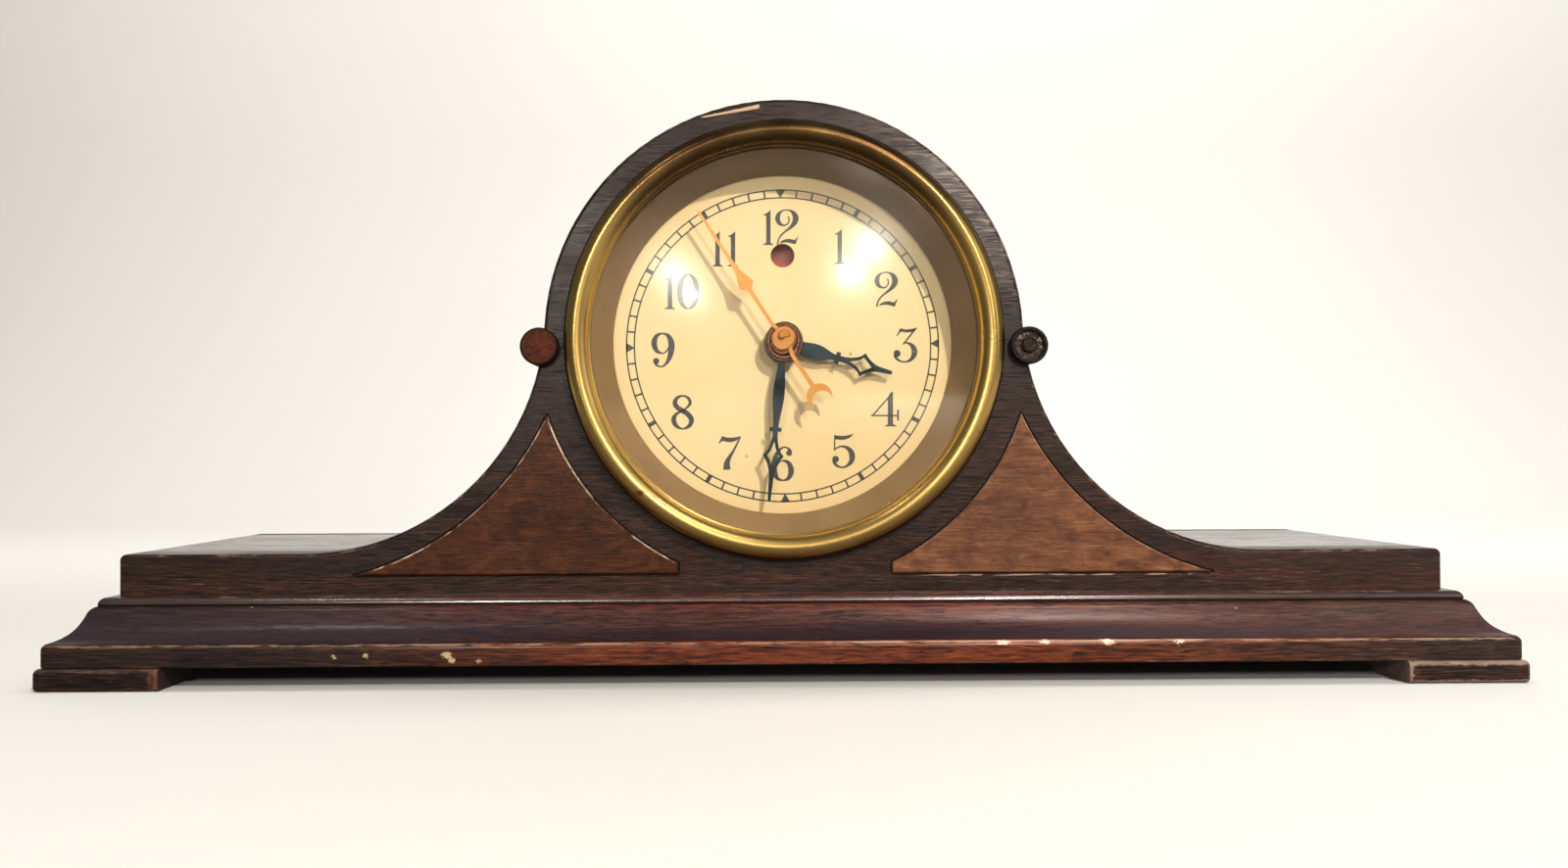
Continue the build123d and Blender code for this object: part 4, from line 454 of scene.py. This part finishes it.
# metals -------------------------------------------------------------------
def metal(name, colour, tarnish, rough=(0.2, 0.4), amount=0.5, lines=None, seed=0.0, scale=0.06):
    s = Shade(name)
    cloud = s.noise(s.at(scale, scale, scale, (seed, seed, 1)), detail=5.0, rough=0.62)
    fine = s.noise(s.at(1.3, 1.3, 1.3, (seed, 3, 1)), detail=3.0)
    grit = 0.06 if lines == "polished" else 0.35
    f = s.calc("MULTIPLY", s.step(s.calc("MULTIPLY_ADD", s.calc("SUBTRACT", fine, 0.5), grit, cloud), 0.36, 0.72), amount)
    col = s.mix(f, colour, tarnish)
    s.set(Base_Color=col, Metallic=1.0)
    r = s.step(s.calc("MULTIPLY_ADD", s.calc("SUBTRACT", fine, 0.5), grit * 1.4, cloud), 0.3, 0.75, rough[0], rough[1])
    s.set(Roughness=r)
    s.cloud, s.colour, s.roughness = cloud, col, r
    if lines == "turned":
        x, y, z = s.xyz()
        rad = s.calc("POWER", s.calc("ADD", s.calc("MULTIPLY", x, x), s.calc("POWER", s.calc("SUBTRACT", z, DIAL_Z), 2.0)), 0.5)
        v = s.node("CombineXYZ", {0: s.calc("MULTIPLY", rad, 4.0), 1: s.calc("MULTIPLY", y, 4.0), 2: 0.0}).outputs[0]
        s.bump(s.noise(v, detail=2.0), 0.005, 0.5)
    elif lines == "polished":
        s.bump(cloud, 0.01, 0.2)
    elif lines == "rolled":
        s.bump(s.noise(s.at(0.05, 1.0, 3.0, (seed, 0, 0)), detail=2.0), 0.012, 0.5)
    else:
        s.bump(fine, 0.01, 0.4)
    return s


brass = metal("bezel_brass", (0.66, 0.435, 0.135), (0.44, 0.27, 0.08), (0.26, 0.33), 0.5, "polished", 2.0, 0.035)
x, y, z = brass.xyz()
spot = brass.calc("POWER", brass.calc("ADD", brass.calc("POWER", brass.calc("ADD", x, 48.0), 2.0), brass.calc("POWER", brass.calc("SUBTRACT", z, 62.5), 2.0)), 0.5)
spot = brass.step(brass.calc("MULTIPLY_ADD", brass.noise(brass.at(0.6, 0.6, 0.6), detail=3.0), 3.0, spot), 3.4, 1.8)
freckles = brass.step(brass.cells(brass.at(0.33, 0.33, 0.33, (4, 4, 4))), 0.17, 0.07)
freckles = brass.calc("MULTIPLY", freckles, brass.step(brass.noise(brass.at(0.05, 0.05, 0.05, (9, 1, 1)), detail=2.0), 0.48, 0.62))
dull = brass.calc("MAXIMUM", spot, brass.calc("MULTIPLY", freckles, 0.5))
recolour(brass, brass.mix(dull, brass.colour, (0.17, 0.075, 0.028)))
aged = brass.calc("MULTIPLY", brass.step(z, 140.0, 176.0), brass.step(brass.noise(brass.at(0.05, 0.05, 0.05, (3, 3, 3)), detail=3.0), 0.25, 0.6, 0.7, 1.0))
recolour(brass, brass.mix(aged, brass.colour, (0.16, 0.082, 0.034)))
rad = brass.calc("POWER", brass.calc("ADD", brass.calc("MULTIPLY", x, x), brass.calc("POWER", brass.calc("SUBTRACT", z, DIAL_Z), 2.0)), 0.5)
# painted dark reflection: the outer flank all round and the inner flank of the upper arc are darkened
painted_dark_reflection = brass.calc("MAXIMUM", brass.step(rad, 72.3, 73.6, 0.0, 0.85), brass.calc("MULTIPLY", brass.step(rad, 69.0, 67.0), brass.step(z, 128.0, 172.0, 0.0, 0.85)))
recolour(brass, brass.mix(painted_dark_reflection, brass.colour, (0.085, 0.050, 0.022)))
brass.set(Roughness=brass.calc("MULTIPLY_ADD", dull, 0.3, brass.roughness))

copper = metal("copper_tone", (0.42, 0.17, 0.075), (0.20, 0.085, 0.045), (0.24, 0.40), 0.5, "turned", 8.0, 0.25)
x, y, z = copper.xyz()
rad = copper.calc("POWER", copper.calc("ADD", copper.calc("MULTIPLY", x, x), copper.calc("POWER", copper.calc("SUBTRACT", z, DIAL_Z), 2.0)), 0.5)
grooves = copper.calc("MAXIMUM", copper.step(copper.calc("ABSOLUTE", copper.calc("SUBTRACT", rad, 4.7)), 0.32, 0.16), copper.step(copper.calc("ABSOLUTE", copper.calc("SUBTRACT", rad, 5.7)), 0.3, 0.14))
recolour(copper, copper.mix(grooves, copper.colour, (0.025, 0.014, 0.010)))
recolour(copper, copper.mix(copper.step(rad, 5.8, 6.1, 0.0, 0.75), copper.colour, (0.075, 0.055, 0.048)))

metals = {
    "plate_brass": metal("plate_brass", (0.62, 0.44, 0.18), (0.34, 0.22, 0.09), (0.28, 0.46), 0.6, "rolled", 5.0),
    "arbor_steel": metal("arbor_steel", (0.52, 0.51, 0.50), (0.26, 0.24, 0.22), (0.22, 0.40), 0.5, None, 6.0),
    "screw_steel": metal("screw_steel", (0.46, 0.45, 0.43), (0.20, 0.15, 0.11), (0.28, 0.50), 0.7, None, 7.0, 0.2),
    "copper_tone": copper,
    "can_metal": metal("can_metal", (0.46, 0.30, 0.13), (0.26, 0.16, 0.07), (0.30, 0.48), 0.6, "turned", 9.0),
}


# paints and plain finishes ---------------------------------------------------
def paint(name, colour, other, rough=(0.35, 0.55), scale=0.05, speck=None, seed=0.0, metallic=0.0, grit=0.02):
    s = Shade(name)
    cloud = s.noise(s.at(scale, scale, scale, (seed, 2, seed)), detail=4.0, rough=0.6)
    fine = s.noise(s.at(2.2, 2.2, 2.2, (seed, 5, 1)), detail=2.0)
    col = s.mix(s.step(cloud, 0.32, 0.70), colour, other)
    if speck:
        dot = s.step(s.cells(s.at(0.12, 0.12, 0.12, (seed, 1, seed))), 0.085, 0.05)
        keep = s.step(s.noise(s.at(0.06, 0.06, 0.06, (seed, 8, 2)), detail=1.0), 0.52, 0.60)
        col = s.mix(s.calc("MULTIPLY", dot, s.calc("MULTIPLY", keep, 0.6)), col, speck)
    s.colour, s.cloud, s.fine = col, cloud, fine
    s.set(Base_Color=col, Roughness=s.step(cloud, 0.3, 0.7, rough[0], rough[1]))
    s.set(Metallic=metallic)
    s.bump(fine, grit, 0.5)
    return s


dial = paint("dial_cream", (0.87, 0.70, 0.385), (0.86, 0.66, 0.335), (0.42, 0.56), 0.022, lin(120, 84, 46), 3.0)
x, y, z = dial.xyz()
drift = dial.calc("MULTIPLY_ADD", dial.calc("SUBTRACT", DIAL_Z, z), 0.85, dial.calc("MULTIPLY", x, 0.28))
drift = dial.calc("MULTIPLY_ADD", dial.calc("SUBTRACT", dial.cloud, 0.5), 40.0, drift)
col = dial.mix(dial.step(drift, -8.0, 56.0, 0.0, 0.8), dial.colour, (0.76, 0.55, 0.26))
rad = dial.calc("POWER", dial.calc("ADD", dial.calc("MULTIPLY", x, x), dial.calc("POWER", dial.calc("SUBTRACT", z, DIAL_Z), 2.0)), 0.5)
col = dial.mix(dial.step(rad, 52.0, 60.0, 0.0, 0.22), col, (0.60, 0.40, 0.17))
recolour(dial, col)
dial.set(Specular_IOR_Level=0.12)

taupe = paint("reveal_taupe", lin(134, 105, 66), lin(124, 95, 58), (0.40, 0.55), 0.04, None, 4.0)
x, y, z = taupe.xyz()
# painted shade: the reveal darkens towards the top, under the bezel
recolour(taupe, taupe.mix(taupe.step(z, 100.0, 178.0, 0.0, 0.65), taupe.colour, lin(98, 76, 58)))

paints = {
    "dial_cream": dial,
    "reveal_paint": taupe,
    "blued_steel": paint("blued_steel", (0.010, 0.018, 0.021), (0.022, 0.034, 0.034), (0.26, 0.42), 0.12, None, 5.0, 0.75, 0.012),
    "gilt_metal": paint("gilt_orange", (0.66, 0.29, 0.055), (0.56, 0.22, 0.036), (0.30, 0.44), 0.09, None, 6.0, 0.35, 0.012),
    "cover_paint": paint("cover_brown", (0.022, 0.014, 0.010), (0.034, 0.021, 0.015), (0.34, 0.5), 0.06, (0.09, 0.06, 0.04), 7.0, 0.0, 0.05),
    "gland_rubber": paint("gland_rubber", (0.016, 0.016, 0.016), (0.026, 0.025, 0.024), (0.55, 0.75), 0.15, None, 8.0, 0.0, 0.05),
    "knob_plastic": paint("knob_plastic", (0.015, 0.010, 0.008), (0.030, 0.018, 0.013), (0.20, 0.34), 0.08, None, 9.0, 0.0, 0.01),
    "red_enamel": paint("red_enamel", (0.40, 0.055, 0.024), (0.31, 0.040, 0.018), (0.34, 0.5), 0.12, None, 10.0, 0.0, 0.02),
}

# stacked laminations: thin dark joints across the depth
lam = metal("lamination_steel", (0.16, 0.16, 0.17), (0.09, 0.075, 0.065), (0.36, 0.55), 0.6, None, 11.0)
wave = lam.node("TexWave", {"Vector": lam.at(0, 1, 0), "Scale": 0.32, "Distortion": 0.0}, wave_type="BANDS", bands_direction="Y").outputs["Fac"]
seam = lam.step(wave, 0.25, 0.05)
recolour(lam, lam.mix(lam.calc("MULTIPLY", seam, 0.7), lam.colour, (0.03, 0.026, 0.024)))
lam.bump(seam, -0.08)
metals["lamination_steel"] = lam

# varnished cotton over the winding: diagonal weave
wrap = paint("coil_wrap", (0.060, 0.042, 0.026), (0.038, 0.027, 0.018), (0.45, 0.65), 0.08, None, 12.0, 0.0, 0.02)
weave = wrap.calc("MULTIPLY",
    wrap.node("TexWave", {"Vector": wrap.at(1, 1, 1), "Scale": 0.45, "Distortion": 0.6}, wave_type="BANDS", bands_direction="X").outputs["Fac"],
    wrap.node("TexWave", {"Vector": wrap.at(1, 1, 1), "Scale": 0.45, "Distortion": 0.6}, wave_type="BANDS", bands_direction="Z").outputs["Fac"])
recolour(wrap, wrap.mix(wrap.calc("MULTIPLY", weave, 0.5), wrap.colour, (0.11, 0.078, 0.045)))
wrap.bump(weave, 0.12)
paints["coil_wrap"] = wrap

# domed glass: clear, a little dusty, lets the lamps through
glass = Shade("clear_glass")
dust = glass.noise(glass.at(0.05, 0.05, 0.05), detail=4.0)
glass.set(Base_Color=(0.985, 0.995, 0.99), Transmission_Weight=1.0, IOR=1.5,
          Roughness=glass.step(dust, 0.35, 0.75, 0.0, 0.03), Coat_Weight=0.35, Coat_Roughness=0.16)
through = glass.tree.nodes.new("ShaderNodeBsdfTransparent")
ways = glass.tree.nodes.new("ShaderNodeLightPath")
pick = glass.tree.nodes.new("ShaderNodeMixShader")
glass.feed(pick.inputs[0], glass.calc("MAXIMUM", ways.outputs["Is Shadow Ray"], ways.outputs["Is Diffuse Ray"]))
glass.tree.links.new(glass.bsdf.outputs[0], pick.inputs[1])
glass.tree.links.new(through.outputs[0], pick.inputs[2])
glass.tree.links.new(pick.outputs[0], glass.out.inputs[0])

finish = {k: v.mat for k, v in {**metals, **paints, "bezel_brass": brass, "clear_glass": glass}.items()}
SLOT_OF = {
    "base_screws": "screw_steel", "bezel_ring": "bezel_brass", "bezel_glass": "clear_glass", "glass_retainer": "plate_brass",
    "reveal_ring": "reveal_paint", "dial_plate": "dial_cream", "dial_screws": "screw_steel", "dial_posts": "plate_brass",
    "movement_front_plate": "plate_brass", "movement_back_plate": "plate_brass", "plate_pillars": "plate_brass",
    "pillar_screws": "screw_steel", "motion_stud": "arbor_steel", "rotor_can": "can_metal", "field_laminations": "lamination_steel",
    "field_coil": "coil_wrap", "field_spacers": "plate_brass", "field_screws": "screw_steel", "rear_cover": "cover_paint",
    "rear_cover_screws": "screw_steel", "cord_gland": "gland_rubber", "hour_wheel": "plate_brass", "hour_hand": "blued_steel",
    "minute_arbor": "plate_brass", "centre_wheel": "plate_brass", "minute_hand": "blued_steel", "minute_collar": "copper_tone",
    "second_arbor": "plate_brass", "second_hand": "gilt_metal", "intermediate_arbor": "plate_brass", "motion_wheel": "plate_brass",
    "set_shaft": "arbor_steel", "set_knob": "knob_plastic", "rotor_pinion": "arbor_steel", "indicator_arbor": "arbor_steel",
    "indicator_flag": "dial_cream", "indicator_disc": "red_enamel", "reset_lever": "arbor_steel",
}
for name, obj in nodes.items():
    mat = woods[name].mat if name in woods else finish[SLOT_OF[name]]
    obj.data.materials.clear()
    obj.data.materials.append(mat)

# ---------------------------------------------------------------------------
# print on the dial: minute track and numbers
# ---------------------------------------------------------------------------
gilt = paints["gilt_metal"]
x, y, z = gilt.xyz()
rad = gilt.calc("POWER", gilt.calc("ADD", gilt.calc("MULTIPLY", x, x), gilt.calc("POWER", gilt.calc("SUBTRACT", z, DIAL_Z), 2.0)), 0.5)
# painted shade: dark outlines at the edge of the boss and near the rim of the second hand's hub
painted_hub_shade = gilt.calc("MAXIMUM", gilt.step(gilt.calc("ABSOLUTE", gilt.calc("SUBTRACT", rad, 2.05)), 0.34, 0.16), gilt.step(gilt.calc("ABSOLUTE", gilt.calc("SUBTRACT", rad, 3.85)), 0.22, 0.08))
recolour(gilt, gilt.mix(gilt.calc("MULTIPLY", painted_hub_shade, 0.7), gilt.colour, (0.22, 0.075, 0.014)))
ink = paint("dial_ink", (0.026, 0.022, 0.015), (0.040, 0.033, 0.022), (0.42, 0.6), 0.5, None, 15.0, 0.0, 0.008)
LIFT = 0.03                                     # thickness of the ink, mm
PRINT = on_plane(798.7, 353.0, DIAL_Y - LIFT)   # middle of the print
TILT = math.radians(0.7)                        # the print sits a little counter-clockwise


class Flat:
    """Flat shapes lying on the dial, gathered in one mesh."""

    def __init__(self):
        self.bm = bmesh.new()

    def face(self, points):
        verts = [self.bm.verts.new((p[0] * MM, (DIAL_Y - LIFT) * MM, p[1] * MM)) for p in points]
        f = self.bm.faces.new(verts)
        f.normal_update()
        if f.normal.y > 0:
            f.normal_flip()

    def finish(self, name):
        mesh = bpy.data.meshes.new(name)
        self.bm.to_mesh(mesh)
        self.bm.free()
        mesh.materials.append(ink.mat)
        obj = bpy.data.objects.new(name, mesh)
        scene.collection.objects.link(obj)
        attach(obj, "clock_body")
        return obj


def polar(r, clock_deg):
    a = math.radians(clock_deg) - TILT
    return (PRINT.x + r * math.sin(a), PRINT.z + r * math.cos(a))


track = Flat()
OUTER, INNER, LINE = 54.4, 51.7, 0.5
for r in (OUTER, INNER):
    for i in range(240):
        a, b = i * 1.5, (i + 1) * 1.5
        track.face([polar(r - LINE / 2, a), polar(r + LINE / 2, a), polar(r + LINE / 2, b), polar(r - LINE / 2, b)])
for m in range(60):
    a = m * 6.0
    if m % 15 == 0:
        h = math.degrees(1.75 / OUTER)
        track.face([polar(OUTER + 0.2, a - h), polar(OUTER + 0.25, a), polar(OUTER + 0.2, a + h), polar(INNER - 0.1, a)])
    else:
        w = 1.45 if m % 5 == 0 else 0.62
        h0, h1 = math.degrees(w / 2 / INNER), math.degrees(w / 2 / OUTER)
        track.face([polar(INNER, a - h0), polar(OUTER, a - h1), polar(OUTER, a + h1), polar(INNER, a + h0)])
track.finish("dial_minute_track")

# each figure is drawn from filled outlines, strokes (u, v, half width) and balls
FIGURES = {
    "1": dict(fill=[[(7.3, 0), (7.3, 33), (8, 34), (10, 34.4), (10, 35.6), (-.2, 35.6), (-.2, 34.4), (1.8, 34), (2.8, 33), (2.8, 6.2), (2.2, 5.5), (.2, 5.6), (0, 4.5), (2.5, 3.8), (5.5, 1.5), (6.8, 0)]]),
    "2": dict(stroke=[[(12.3, 7, .3), (13.6, 8.5, .7), (14.2, 11, .7), (13.2, 14, .7), (10.5, 16.3, .8), (7.5, 16.2, 1.1), (4.5, 14.5, 1.9), (2.6, 11, 2.4), (2.5, 8.5, 2.4), (3.6, 5, 1.9), (6.5, 2, 1), (10.5, .9, .7), (14.5, 1.2, .9), (18.3, 3.5, 2), (20.6, 7.5, 2.9), (20.6, 11, 2.9), (18.8, 15, 2.3), (15, 19, 1.5), (10, 22.8, 1), (6, 26.5, .9), (3.8, 30, .8), (2.6, 34, .9), (2.3, 35.8, 1)]],
              fill=[[(4.5, 34.2), (7, 31.8), (11, 30.3), (15, 30.2), (18.5, 31), (20, 31.2), (22.5, 28.2), (23.7, 28), (22, 31.5), (20.8, 35.5), (18, 35.2), (14, 34), (10, 33.8), (6, 34.5), (4.8, 35.2)]]),
    "3": dict(fill=[[(3, 8.3), (5.6, 3.8), (6.8, 1), (8.5, .8), (12, 1.9), (17, 1.6), (21, .8), (24.4, 0), (24.2, .9), (21, 4.2), (17.5, 4.8), (13, 4.9), (9, 4.3), (7.5, 4.5), (6.2, 6), (4.4, 8.4)]],
              stroke=[[(22.5, 1.5, .9), (11.5, 15.3, .8), (9.8, 16.7, .5)], [(10.5, 15.8, .4), (13, 15.5, .8), (17, 16.6, 1.5), (20.3, 20, 2.4), (21.6, 24.5, 2.9), (20.6, 29, 2.5), (17, 33.2, 1.4), (12, 34.9, .8), (7, 34, 1), (3.2, 31.2, 1.3), (1.9, 28, 1.8)]],
              ball=[(3.9, 26.4, 3.6)]),
    "4": dict(fill=[[(22.3, 0), (22.3, 33.2), (24, 34), (25.5, 34.2), (25.5, 35.5), (14.5, 35.5), (14.5, 34.2), (16, 34), (17, 33.2), (17, 6.2)], [(0, 23.7), (27, 23.7), (27, 25.3), (0, 25.3)], [(26.4, 18.5), (28.4, 18.5), (28.4, 29.5), (26.4, 29.5)]],
              stroke=[[(17.5, 6.3, .8), (1.5, 24.5, .8)], [(21.2, .6, .8), (17.5, 6.3, .8)]]),
    "5": dict(fill=[[(2.2, 1.5), (3, 1.6), (8, 2.6), (13, 2.5), (18, 1.5), (22, .2), (21.2, 1.5), (18.5, 4.2), (14, 6.2), (8.5, 6.8), (3.8, 6), (3.4, 7)]],
              stroke=[[(2.9, 1.6, .7), (2.5, 17.5, .7)], [(2.2, 17.5, .4), (4.5, 15, .8), (9, 13.3, .9), (14, 14, 1.5), (18.5, 17.5, 2.5), (20.5, 23, 2.9), (19.5, 28.5, 2.4), (16, 32.5, 1.5), (11, 34.6, .9), (6, 33.5, 1.2), (2.8, 30.5, 1.6), (1.8, 27.5, 1.8)]],
              ball=[(3.6, 26.2, 3.4)]),
    "7": dict(fill=[[(.2, 7.5), (2.5, 3.5), (4, 0), (5.5, .2), (9, 1.4), (14, 1.6), (19, 1), (23.5, 0), (22.5, 1.6), (19, 4.5), (14, 6.2), (9, 5.9), (5.5, 5), (3.6, 5.5), (1.2, 7.8)]],
              stroke=[[(22.5, 1.2, .8), (20, 6.5, .9), (16, 14.5, 1.2), (12, 21, 1.9), (9.6, 26, 2.7), (9, 30, 3.3), (9.2, 34.2, 3.8)]]),
    "8": dict(stroke=[[(12, 1, .9), (6.5, 3, 1.8), (4, 8, 2.4), (6.5, 12.8, 2.5), (12, 16.3, 2.6), (17.5, 20, 2.6), (20.8, 25.5, 2.6), (18.5, 31.5, 2), (12, 34.5, .9), (5.5, 31.5, 2), (2.7, 25.5, 2.5), (5, 20, 1.7), (10, 17, 1), (15.5, 13.5, 1), (19.5, 8.5, 1.6), (17.5, 3.2, 1.4), (12, 1, .9)]]),
    "9": dict(stroke=[[(11.3, .9, .8), (5.5, 3.4, 2), (2.9, 11, 2.9), (5.5, 18.6, 2.1), (11.3, 21.2, .8), (15.5, 19, .8), (17.8, 15, .8)], [(11.3, .9, .8), (17, 3.2, 1.9), (20.2, 10, 3.1), (20.3, 18, 3), (18.3, 26, 2.3), (15, 31.8, 1.4), (10.5, 34.8, .8), (6, 33.6, 1), (3.6, 31.2, 1.4)]],
              ball=[(5, 29, 3.1)]),
    "0": dict(stroke=[[(11.5, .6, .6), (7.6, 2.6, 1.6), (4.4, 8, 2.5), (3, 18, 2.9), (4.4, 28, 2.5), (7.6, 33.4, 1.6), (11.5, 35.4, .6), (15.4, 33.4, 1.6), (18.6, 28, 2.5), (20, 18, 2.9), (18.6, 8, 2.5), (15.4, 2.6, 1.6), (11.5, .6, .6)]]),
}
PLACES = [("1", 779, 215), ("2", 791, 214.2), ("1", 851.6, 234.4), ("2", 892, 277.6), ("3", 911, 334.6), ("4", 888.5, 399.6), ("5", 848.8, 442.2),
          ("6", 787, 455.5), ("7", 732.8, 445), ("8", 685, 403), ("9", 665, 339.5), ("1", 679, 280.3), ("0", 691, 280), ("1", 727.4, 236.8), ("1", 743, 236.8)]


def smooth_line(points, parts=6):
    """Catmull-Rom through (u, v, half width) points."""
    if len(points) == 2:
        return points
    out = []
    p = [points[0]] + list(points) + [points[-1]]
    if points[0] == points[-1]:
        p[0], p[-1] = points[-2], points[1]
    for i in range(1, len(p) - 2):
        for k in range(parts):
            t = k / parts
            out.append(tuple(0.5 * (2 * p[i][j] + (p[i + 1][j] - p[i - 1][j]) * t + (2 * p[i - 1][j] - 5 * p[i][j] + 4 * p[i + 1][j] - p[i + 2][j]) * t * t + (3 * p[i][j] - p[i - 1][j] - 3 * p[i + 1][j] + p[i + 2][j]) * t ** 3) for j in range(3)))
    out.append(points[-1])
    return out


def draw(sheet, figure, u0, v0):
    shape, half_turn = FIGURES["9" if figure == "6" else figure], figure == "6"

    def put(u, v):
        if half_turn:
            u, v = 23.2 - u, 35.6 - v
        q = on_plane(u0 + u, v0 + v, DIAL_Y - LIFT)
        return (q.x, q.z)

    for outline in shape.get("fill", []):
        sheet.face([put(u, v) for u, v in outline])
    for cu, cv, r in shape.get("ball", []):
        sheet.face([put(cu + r * math.cos(i * math.pi / 12), cv + r * math.sin(i * math.pi / 12)) for i in range(24)])
    for line in shape.get("stroke", []):
        pts = smooth_line(line)
        sides = []
        for i, (u, v, h) in enumerate(pts):
            a, b = pts[max(i - 1, 0)], pts[min(i + 1, len(pts) - 1)]
            if line[0] == line[-1] and i in (0, len(pts) - 1):
                a, b = pts[-2], pts[1]
            du, dv = b[0] - a[0], b[1] - a[1]
            n = math.hypot(du, dv) or 1.0
            sides.append(((u - dv / n * h, v + du / n * h), (u + dv / n * h, v - du / n * h)))
        for (l0, r0), (l1, r1) in zip(sides, sides[1:]):
            sheet.face([put(*l0), put(*r0), put(*r1), put(*l1)])


numbers = Flat()
for figure, u0, v0 in PLACES:
    draw(numbers, figure, u0, v0)
numbers.finish("dial_numbers")

# ---------------------------------------------------------------------------
# studio: pale sweep, soft lamps
# ---------------------------------------------------------------------------
bm = bmesh.new()
profile = [(-4.0, 0.0), (0.9, 0.0)]
for i in range(1, 13):
    a = math.radians(90 * i / 12)
    profile.append((0.9 + 0.6 * math.sin(a), 0.6 - 0.6 * math.cos(a)))
profile.append((1.5, 4.0))
rows = [[bm.verts.new((sx, py, pz)) for py, pz in profile] for sx in (-6.0, 6.0)]
for i in range(len(profile) - 1):
    f = bm.faces.new((rows[0][i], rows[1][i], rows[1][i + 1], rows[0][i + 1]))
    f.smooth = True
mesh = bpy.data.meshes.new("studio_sweep")
bm.to_mesh(mesh)
bm.free()
floor = Shade("studio_paper")
paper = floor.mix(floor.noise(floor.at(0.002, 0.002, 0.002), detail=3.0), (0.79, 0.78, 0.755), (0.76, 0.75, 0.725))
floor.set(Base_Color=floor.mix(floor.step(floor.xyz()[1], 500.0, 60.0), paper, (0.60, 0.595, 0.575)), Roughness=0.85)
# painted reflection: in front of the clock the sweep is darker for every ray but the camera's, lighter towards the
# right, which gives the wood a sheen on its right
ways = floor.tree.nodes.new("ShaderNodeLightPath")
dim = floor.tree.nodes.new("ShaderNodeBsdfDiffuse")
floor.feed(dim.inputs[0], floor.mix(floor.step(floor.xyz()[0], 60.0, 620.0), (0.14, 0.135, 0.13), (0.50, 0.48, 0.47)))
swap = floor.tree.nodes.new("ShaderNodeMixShader")
ahead = floor.step(floor.xyz()[1], 60.0, -60.0)
floor.feed(swap.inputs[0], floor.calc("MULTIPLY", ahead, floor.calc("SUBTRACT", 1.0, ways.outputs["Is Camera Ray"])))
floor.feed(swap.inputs[1], floor.bsdf.outputs[0])
floor.feed(swap.inputs[2], dim.outputs[0])
floor.feed(floor.out.inputs[0], swap.outputs[0])
mesh.materials.append(floor.mat)
sweep = bpy.data.objects.new("studio_sweep", mesh)
scene.collection.objects.link(sweep)

DIAL = Vector((0.0, -0.055, 0.115))


def lamp(name, azimuth, elevation, distance, size, power, colour, seen=True):
    a, e = math.radians(azimuth), math.radians(elevation)
    aim = Vector((math.sin(a) * math.cos(e), -math.cos(a) * math.cos(e), math.sin(e)))
    data = bpy.data.lights.new(name, "AREA")
    data.shape = "DISK"
    data.size = size
    data.energy = power
    data.color = colour
    obj = bpy.data.objects.new(name, data)
    obj.location = DIAL + aim * distance
    obj.rotation_euler = (-aim).to_track_quat("-Z", "Y").to_euler()
    obj.visible_glossy = seen
    obj.visible_transmission = False
    scene.collection.objects.link(obj)


WARM = (1.0, 0.945, 0.865)
lamp("key_right", 25, 33, 1.5, 0.05, 17.5, WARM, seen=False)
lamp("lamp_right", 15.3, 18.0, 1.3, 0.06, 4.2, WARM)
lamp("lamp_left", -16.2, 14.0, 1.3, 0.05, 3.0, WARM)
lamp("top_right", 25, 42, 1.3, 0.22, 2.4, WARM)
lamp("top_left", -44, 52, 1.3, 0.10, 0.8, WARM)
lamp("fill_left", -50, 40, 1.8, 0.9, 1.4, (1.0, 0.97, 0.93), seen=False)
lamp("fill_right", 58, 18, 1.4, 0.7, 1.6, (1.0, 0.97, 0.93))
panel = bpy.data.lights.new("backdrop_light", "AREA")
panel.shape = "RECTANGLE"
panel.size, panel.size_y = 3.0, 0.6
panel.energy = 50
panel.color = (1.0, 0.985, 0.95)
washer = bpy.data.objects.new("backdrop_light", panel)
washer.location = (0.45, 0.25, 2.1)
washer.rotation_euler = (Vector((0.25, 1.3, 0.5)) - Vector((0.45, 0.25, 2.1))).to_track_quat("-Z", "Y").to_euler()
washer.visible_glossy = False
scene.collection.objects.link(washer)

world = bpy.data.worlds.new("studio")
world.use_nodes = True
world.node_tree.nodes["Background"].inputs[0].default_value = (1.0, 0.97, 0.93, 1.0)
world.node_tree.nodes["Background"].inputs[1].default_value = 0.12
scene.world = world
scene.view_settings.view_transform = "Standard"
scene.view_settings.look = "None"
scene.view_settings.exposure = 0.0
scene.view_settings.gamma = 1.0
